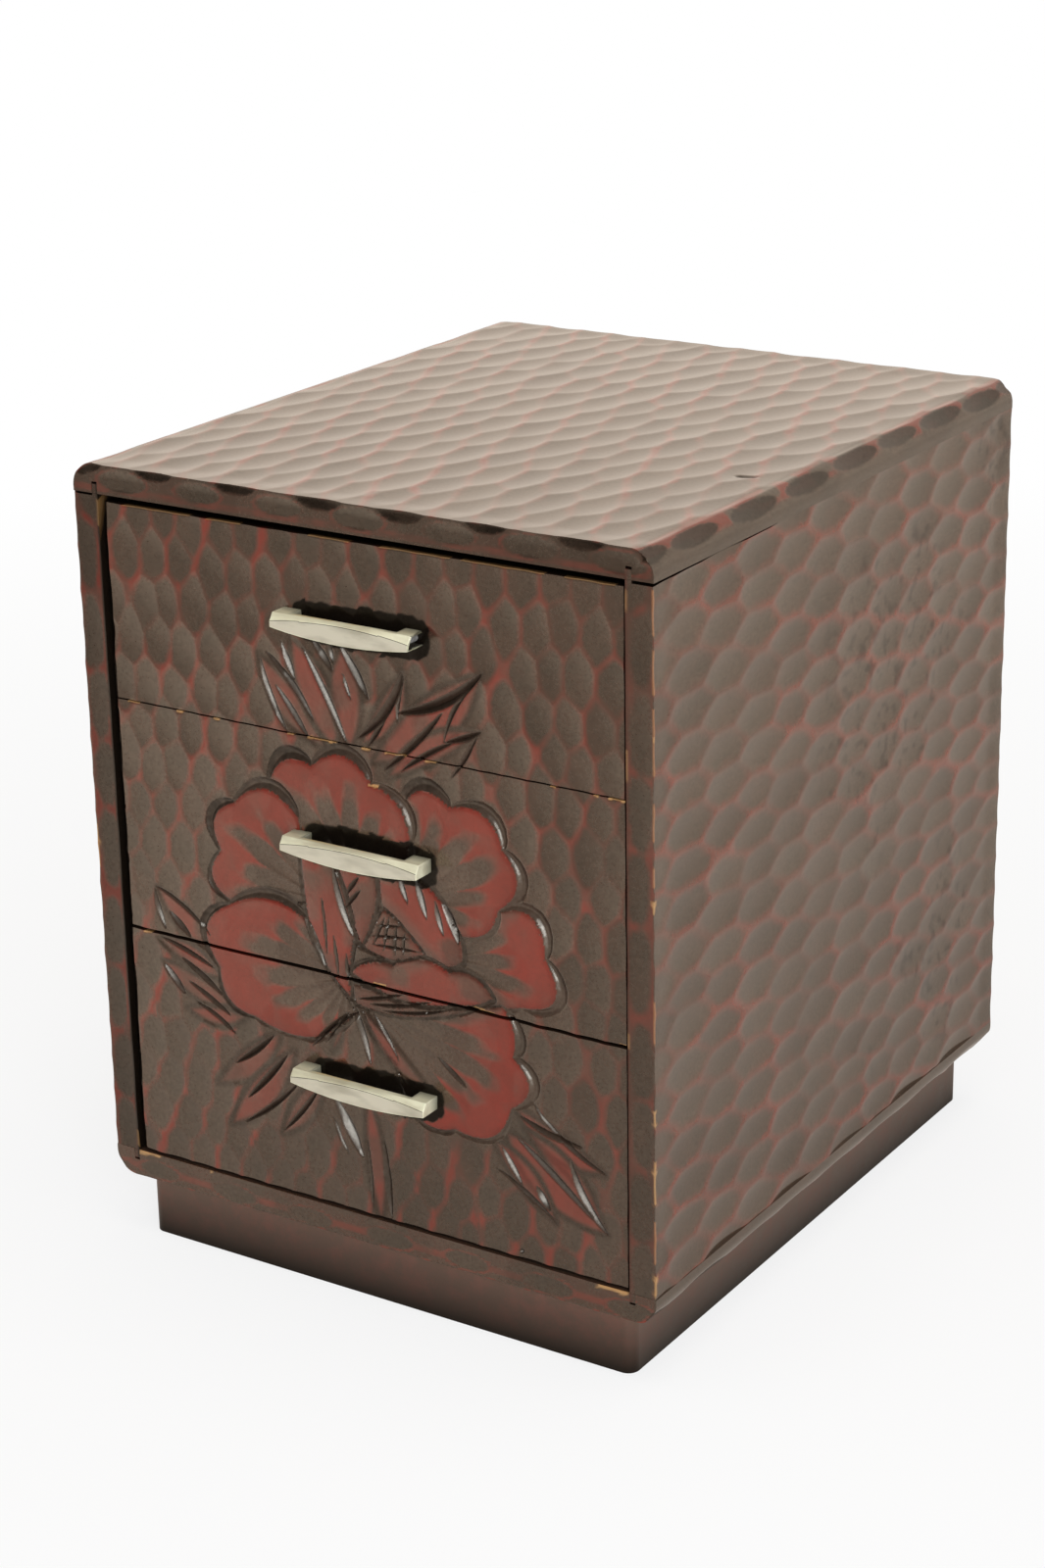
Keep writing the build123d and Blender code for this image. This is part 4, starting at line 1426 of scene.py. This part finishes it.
def round_corner(points, normals, arc, half_width, rim_z, up):
    """Roll the square long edges into quarter rounds; normals and arc lengths follow."""
    for side in (-1, 1):
        dx = side * points[:, 0] - (half_width - ROUND)
        dz = up * (points[:, 2] - rim_z) + ROUND
        corner = (dx > 0) & (dz > 0)
        reach = np.maximum(dx, dz)[corner]
        angle = np.arctan2(dz[corner], dx[corner])
        points[corner, 0] = side * (half_width - ROUND + reach * np.cos(angle))
        points[corner, 2] = rim_z + up * (reach * np.sin(angle) - ROUND)
        normals[corner] = np.stack((side * np.cos(angle), np.zeros(angle.size), up * np.sin(angle)), axis=1)
        arc[corner] = side * (half_width - ROUND + ROUND * (np.pi / 2 - angle))
        below = (dx > 0) & (dz <= 0)
        normals[below] = (side, 0, 0)
        arc[below] = side * (half_width - ROUND + ROUND * np.pi / 2 - dz[below])


# %% [markdown]
# The grooves for the sides' tongues run out through the front edge of both boards, where their ends
# show as small dark slots. A boolean would cut them as well, but it leaves long thin faces in a fine
# mesh. So vertices near a groove's walls are moved on to them, and the faces between are pushed in.

# %% Groove ends in the front edge
SLOT_DEPTH = 4.0 * MM
SLOT_HEIGHT = 2.9 * MM
SLOT_SNAP = 0.33 * MM


def open_slots(board, front, inner_z):
    """Sink the ends of the two grooves for the side boards into the front edge."""
    near_wall = abs(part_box("left_side")[1].x)
    far_wall = near_wall + TONGUE
    for vert in board.verts:
        for wall in (near_wall, far_wall):
            if abs(abs(vert.co.x) - wall) < SLOT_SNAP:
                vert.co.x = math.copysign(wall, vert.co.x)
    slot = []
    for face in board.faces:
        x, y, z = face.calc_center_median()
        in_groove = near_wall < abs(x) < far_wall and abs(z - inner_z) < SLOT_HEIGHT
        if in_groove and abs(y - front) < SAME_PLACE * MM:
            slot.append(face)
    push_faces(board, slot, (0, SLOT_DEPTH, 0))


# %% [markdown]
# The front and rear edges of both boards have one row of lying ovals, with red along their borders
# and between them. On the top board, short deep cuts also notch the upper arris between the ovals,
# and they are painted dark as the shade inside them. A single row is a ground whose pitch is wider
# than the board.

# %% Rows of cuts on the edges
ONE_ROW = 300.0
RIM_CUT = {
    "pitch": ONE_ROW, "rows": 23.2, "half_width": 2.8, "half_length": 7.8, "stagger": 0.0, "worn": 0.15,
    "wander": 0.06,
}
RIM_SHIFT = 8.2
RIM = {
    1: {"depth": 0.3, "middle": 3.6, "link": 1.5, "red": 0.6},
    -1: {"depth": 0.12, "middle": 4.4, "link": 4.4, "red": 0.55},
}
ARRIS_CUT = {
    "pitch": ONE_ROW, "rows": 23.2, "half_width": 2.5, "half_length": 6.4, "depth": 0.7, "stagger": 0.0,
    "worn": 0.1, "wander": 0.08,
}
ARRIS_SHIFT = -3.4


def carve_rim(points, attributes, at, outward, height, x, seed, up):
    """Row of lying ovals on a board's front or rear edge; the top also has dark cuts on its arris."""
    rim = RIM[up]
    level, _, tone, _ = gouge_cuts(height - rim["middle"] + ONE_ROW / 2, x + RIM_SHIFT, RIM_CUT, seed)
    points[at] += np.asarray(outward) * rim["depth"] * level[:, None]
    patches = ease(0.3, 0.65, cloud(x, height, 4.0, seed + 1))
    border = ease(0.25, 0.05, np.abs(level + 0.12)) * (0.2 + 0.8 * patches)
    border *= 0.25 + 0.75 * ease(0.0, -0.05, level)
    link = ease(1.3, 0.5, np.abs(height - rim["link"])) * ease(-0.1, 0.0, level) * (0.4 + 0.6 * patches)
    attributes["dark"][at] = 0.0
    attributes["tone"][at] = tone
    attributes["red"][at] = rim["red"] * np.maximum(border, link)
    if up > 0:
        from_arris = height.max() - height
        level, _, _, _ = gouge_cuts(from_arris + ONE_ROW / 2, x + ARRIS_SHIFT, ARRIS_CUT, seed + 8)
        points[at] += np.asarray(outward) * ARRIS_CUT["depth"] * level[:, None]
        inside = ease(-0.05, -0.2, level)
        # Painted shade inside the arris cuts.
        attributes["dark"][at] = 0.75 * inside * (0.6 + 0.4 * patches)
        arris = ease(0.7, 0.1, from_arris) * ease(0.4, 0.7, cloud(x, height, 6.0, seed + 2))
        attributes["red"][at] = np.maximum(attributes["red"][at], 0.7 * arris) * (1 - inside)


# %% [markdown]
# Along the middle of each rounded edge runs a row of long cuts in which dark coat has gathered, with
# red in patches above and between them.

# %% Row of cuts along the rounds
ROUND_CUT = {
    "pitch": ONE_ROW, "rows": 24.0, "half_width": 2.5, "half_length": 11.4, "depth": 0.5, "stagger": 0.0,
    "worn": 0.2, "wander": 0.16,
}
ROUND_SHIFT = 7


def carve_round(points, attributes, at, normals, arc, y, half_width, seed):
    """Row of long dark cuts along the middle of each rounded edge, with patches of red."""
    middle = half_width - ROUND + ROUND * np.pi / 4
    across = np.abs(arc) - middle + ONE_ROW / 2
    along = y + ROUND_SHIFT * np.sign(arc)
    level, _, tone, _ = gouge_cuts(across, along, ROUND_CUT, seed)
    points[at] += normals * ROUND_CUT["depth"] * level[:, None]
    inside = ease(-0.02, -0.25, level)
    upper = ease(middle - 4.6, middle - 3.2, np.abs(arc)) * ease(middle + 2.4, middle + 0.6, np.abs(arc))
    patches = ease(0.28, 0.55, cloud(2 * arc, y, 5.0, seed + 1)) * (1 - 0.85 * inside)
    attributes["red"][at] = np.maximum(attributes["red"][at], upper * patches)
    attributes["dark"][at] = np.maximum(attributes["dark"][at], 0.56 * inside)
    attributes["tone"][at] = np.where(level < 0, tone, attributes["tone"][at])


# %% [markdown]
# With these, both boards can be carved: the edges first, then the broad face, whose long cuts fade
# out where the rounded edge has its own row. The front edge of the bottom board is worn bare near the
# sides, and the top has a short dark crack near its right edge.

# %% Top and bottom boards
TOP_CUT = {
    "pitch": 10.0, "rows": 14.4, "half_width": 5.5, "half_length": 12.0, "depth": 0.46, "stagger": 0.5,
    "worn": 0.17, "wander": 0.14, "lands": 0.5, "lines": 1.5, "line_width": 1.5, "way": 1, "rest": 0.08,
}
OUTER_STEPS = 8
SLOT_STEPS = 6
BOARD_RUNS = {1: (), -1: ((-73, -65.6), (63.9, 72.4), (-50, -49))}
CRACK = {"x": 67.0, "y": -24.2, "half": 3.2, "depth": 0.5}


def board_blank(low, high, rim, inner_z, up, spacing):
    """Uncarved board whose fine face is the outer one, with the groove ends in its front edge."""
    center = Vector(((low.x + high.x) / 2, (low.y + high.y) / 2, rim))
    half_u = Vector((up * (high.x - low.x) / 2, 0, 0))
    half_v = Vector((0, (high.y - low.y) / 2, 0))
    outer_step = Vector((0, 0, -up * (high.z - low.z - SLOT_HEIGHT) / OUTER_STEPS))
    slot_step = Vector((0, 0, -up * SLOT_HEIGHT / SLOT_STEPS))
    steps = [outer_step] * OUTER_STEPS + [slot_step] * SLOT_STEPS
    board = board_mesh(center, half_u, half_v, spacing, steps)
    open_slots(board, low.y, inner_z)
    return board


def carved_board(name, up, spacing, seed):
    """Top or bottom board: long cuts over its broad face and rounds, short ones on its edges."""
    low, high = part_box(name)
    rim = high.z if up > 0 else low.z
    inner_z = low.z if up > 0 else high.z
    board = board_blank(low, high, rim, inner_z, up, spacing)
    points = points_of(board)
    x, y, z = points.T.copy()
    half_width = high.x / MM
    broad = lies_at(z, rim) | lies_at(np.abs(x), high.x)
    normals = np.tile((0.0, 0.0, float(up)), (len(points), 1))
    arc = x.copy()
    round_corner(points, normals, arc, half_width, rim / MM, up)
    attributes = blank_attributes(len(points))
    for edge_y, outward, edge_seed in ((low.y, (0, -1, 0), seed), (high.y, (0, 1, 0), seed + 2)):
        at = lies_at(y, edge_y)
        carve_rim(points, attributes, at, outward, up * (z[at] - inner_z / MM), x[at], edge_seed, up)
    flat = ease(half_width - 3.4, half_width - 5.0, np.abs(arc[broad]))
    carve_face(points, attributes, broad, normals[broad], arc[broad], y[broad], TOP_CUT, seed + 4, flat)
    carve_round(points, attributes, broad, normals[broad], arc[broad], y[broad], half_width, seed + 10)
    corner = np.maximum(y - low.y / MM, np.abs(z - inner_z / MM))
    attributes["bare"] = 0.9 * worn_runs(x, corner, BOARD_RUNS[up], 1.0, seed + 6)
    if up > 0:
        lengthwise = ease(CRACK["half"], CRACK["half"] - 1.5, np.abs(x[broad] - CRACK["x"]))
        crack = ease(0.9, 0.3, np.abs(y[broad] - CRACK["y"])) * lengthwise
        points[broad, 2] -= CRACK["depth"] * crack
        attributes["dark"][broad] = np.maximum(attributes["dark"][broad], crack)
    return finish_piece(
        board, f"carved_{name}", points, attributes, "cabinet", name, (lacquer,)
    )


carved_top = carved_board("top_board", 1, 0.64 * MM, 51)
carved_board("bottom_board", -1, 0.8 * MM, 61)

# %% [markdown]
# Seen from behind, the top would mirror the window lamp and turn blank white. A photographer would
# hold a card between the lamp and the top; here light linking keeps the lamp off that one piece.

# %% Lamp kept off the top
shaded = bpy.data.collections.new("shaded_from_window")
shaded.objects.link(carved_top)
shaded.collection_objects[0].light_linking.link_state = "EXCLUDE"
bpy.data.objects["window_lamp"].light_linking.receiver_collection = shaded
print("kept out of the window lamp's light:", carved_top.name)

# %% [markdown]
# The pulls are cast bars with rounded corners. A block is cut into short lengths, its lower edge is
# bowed and the upper edge of its front becomes an arch, which leaves a lens-shaped facet. The ends
# are drawn back as legs, which sink a little into the carved ground.

# %% Bar and legs of a pull
BAR_THICKNESS = 2.6 * MM
BAR_END_HEIGHT = 3.4 * MM
BAR_BOW = 1.6 * MM
BAR_CUTS = 7
FACET_DEPTH = 1.3 * MM
FACET_END_HEIGHT = 1.5 * MM
FACET_TOP_MARGIN = 0.2 * MM
LEG_WIDTH = 5.0 * MM
LEG_SINK = 0.7 * MM
PULL_ROUND = 0.22 * MM
CREASE = math.radians(60)


def bar_with_legs(low, high):
    """Rounded bar with a bowed lower edge, an arched facet and two legs, in a pull's box."""
    half = high.x
    front = low.y
    back = front + BAR_THICKNESS
    level = high.z - BAR_END_HEIGHT / 2
    pull = bmesh.new()
    place = Matrix.Translation((0, (front + back) / 2, level))
    block = Matrix.Diagonal((2 * half, BAR_THICKNESS, BAR_END_HEIGHT, 1))
    bmesh.ops.create_cube(pull, size=1.0, matrix=place @ block)
    cuts = [((side * (half - LEG_WIDTH), 0, 0), (1, 0, 0)) for side in (-1, 1)]
    cuts.append(((0, front + FACET_DEPTH, 0), (0, 1, 0)))
    for plane_co, plane_no in cuts:
        everything = [*pull.verts, *pull.edges, *pull.faces]
        bmesh.ops.bisect_plane(pull, geom=everything, dist=CUT_SNAP, plane_co=plane_co, plane_no=plane_no)
    lengthwise = [
        edge for edge in pull.edges
        if abs(edge.verts[0].co.x - edge.verts[1].co.x) > 0.5 * LEG_WIDTH
    ]
    bmesh.ops.subdivide_edges(pull, edges=lengthwise, cuts=BAR_CUTS, use_grid_fill=True)
    arch = BAR_END_HEIGHT - FACET_TOP_MARGIN - FACET_END_HEIGHT
    for vert in pull.verts:
        rise = 1 - (vert.co.x / half) ** 2
        if vert.co.z < level:
            vert.co.z -= BAR_BOW * rise
        elif vert.co.y < front + FACET_DEPTH / 2:
            vert.co.z = level - BAR_END_HEIGHT / 2 + FACET_END_HEIGHT + arch * rise
    pull.normal_update()
    feet = [
        face for face in pull.faces
        if face.normal.y > 0.9 and abs(face.calc_center_median().x) > half - LEG_WIDTH
    ]
    push_faces(pull, feet, (0, high.y - back + LEG_SINK, 0))
    pull.normal_update()
    creases = [edge for edge in pull.edges if edge.calc_face_angle(0.0) > CREASE]
    bmesh.ops.bevel(
        pull, geom=creases, offset=PULL_ROUND, segments=2, profile=0.5, affect="EDGES",
        clamp_overlap=True, material=-1,
    )
    bmesh.ops.recalc_face_normals(pull, faces=pull.faces)
    pull.normal_update()
    return pull


# %% [markdown]
# The facet takes the darker copy of the metal, as painted shade, and a fine dark line of painted
# shade marks its upper border, along the crease. The upper pull has lost the cap of its right end,
# so that its hollow shows between thin, broken walls; inside, it is painted black as shade.

# %% Facet and broken end of a pull
FACET_SLOT = 1
PAINTED_SHADE_SLOT = 2
FACET_SLACK = 0.02 * MM
SEAM = 0.07 * MM
END_SLACK = 0.05 * MM
END_WALL = 0.06 * MM
END_HOLLOW = 2.4 * MM
END_BREAK = 0.9 * MM
END_REACH = 0.3 * MM


def facet_seam(pull, front):
    """Give the facet its darker metal and a fine dark seam along its upper border, both painted shade."""
    facet = {face for face in pull.faces if max(vert.co.y for vert in face.verts) < front + FACET_SLACK}
    seam = []
    for face in facet:
        # The facet takes the darker copy of the metal: painted shade.
        face.material_index = FACET_SLOT
        for edge in face.edges:
            beside = [other for other in edge.link_faces if other not in facet]
            if beside and beside[0].normal.z > 0.2:
                seam.append(edge)
    made = bmesh.ops.bevel(
        pull, geom=seam, offset=SEAM, segments=1, profile=0.5, affect="EDGES",
        clamp_overlap=True, material=-1,
    )
    # The seam takes the black metal: a line of painted shade along the crease.
    for face in made["faces"]:
        face.material_index = PAINTED_SHADE_SLOT
    print("facet faces:", len(facet), "seam faces:", len(made["faces"]))


def opened_end(pull, end):
    """Sink a hollow with thin, broken walls into the right end, painted black inside as shade."""
    faces = [
        face for face in pull.faces
        if face.normal.x > 0.98 and face.calc_center_median().x > end - END_SLACK
    ]
    bmesh.ops.inset_region(pull, faces=faces, thickness=END_WALL, use_even_offset=True)
    deep = push_faces(pull, faces, (-END_HOLLOW, 0, 0))
    # Inside the hollow the metal is black: painted shade.
    for face in {face for vert in deep for face in vert.link_faces}:
        face.material_index = PAINTED_SHADE_SLOT
    broken = np.random.default_rng(85)
    for vert in pull.verts:
        if vert.co.x > end - END_REACH:
            vert.co.x -= END_BREAK * broken.random()


# %% [markdown]
# Where leg and bar meet, at the feet and round the broken end, the metal is painted dark: dirt, and
# painted shade in these corners. Along the upper rear edge of the bar, where fingers pull, the white
# metal is worn down to brass.


# %% Pulls
def shaped_pull(name, hollow):
    """Bar pull of one drawer."""
    node = f"{name}_handle"
    low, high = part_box(node)
    pull = bar_with_legs(low, high)
    facet_seam(pull, low.y)
    if hollow:
        opened_end(pull, high.x)
    points = points_of(pull)
    x, y, z = points.T
    half = high.x / MM
    back = (low.y + BAR_THICKNESS) / MM
    inner_corner = np.hypot(np.abs(x) - (high.x - LEG_WIDTH) / MM, y - back)
    foot = high.y / MM - y
    spots = cloud(x, z, 1.4, 81)
    # Dark at the inner corners and the feet: dirt and painted shade.
    dirt_and_shade = np.maximum(0.9 * ease(1.3, 0.2, inner_corner + spots), 0.7 * ease(0.8, 0.0, foot + 0.6 * spots))
    # Dark round the broken end: painted shade.
    if hollow:
        dirt_and_shade = np.maximum(dirt_and_shade, 0.75 * ease(0.9, 0.3, half - x + 0.8 * spots))
    top_edge = np.hypot(z - high.z / MM, y - back)
    brass = ease(0.7, 0.3, top_edge) * ease(0.3, 0.5, cloud(x, y, 4.0, 83)) * (np.abs(x) < half - 5)
    finish_piece(
        pull, f"{name}_pull", points, {"dirt_and_shade": dirt_and_shade, "brass": brass}, f"{name}_drawer", node,
        (pull_metal, shaded_facet_metal, painted_shade_metal), sharp=16,
    )


for drawer in DRAWERS:
    shaped_pull(drawer, drawer == "upper")

# %% [markdown]
# The remaining pieces keep the frame's own shapes and get their finishes: grain along the length
# of each board, plain lacquer on the plinth, and steel on the screws.

# %% Finishes on the frame's own pieces
finishes = {
    "back_panel": wood_crosswise, "lower_dust_board": wood_crosswise, "upper_dust_board": wood_crosswise,
    "plinth_blocks": wood_lengthwise,
}
for place in ("front", "back", "left", "right"):
    finishes[f"plinth_{place}"] = plinth_lacquer
for drawer in DRAWERS:
    finishes[f"{drawer}_drawer_left_side"] = wood_lengthwise
    finishes[f"{drawer}_drawer_right_side"] = wood_lengthwise
    finishes[f"{drawer}_drawer_back"] = wood_crosswise
    finishes[f"{drawer}_drawer_bottom"] = wood_crosswise
    finishes[f"{drawer}_handle_screws"] = screw_steel
for node, material in finishes.items():
    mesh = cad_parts[node].data
    mesh.materials.clear()
    mesh.materials.append(material)
print("finished nodes:", len(finishes))
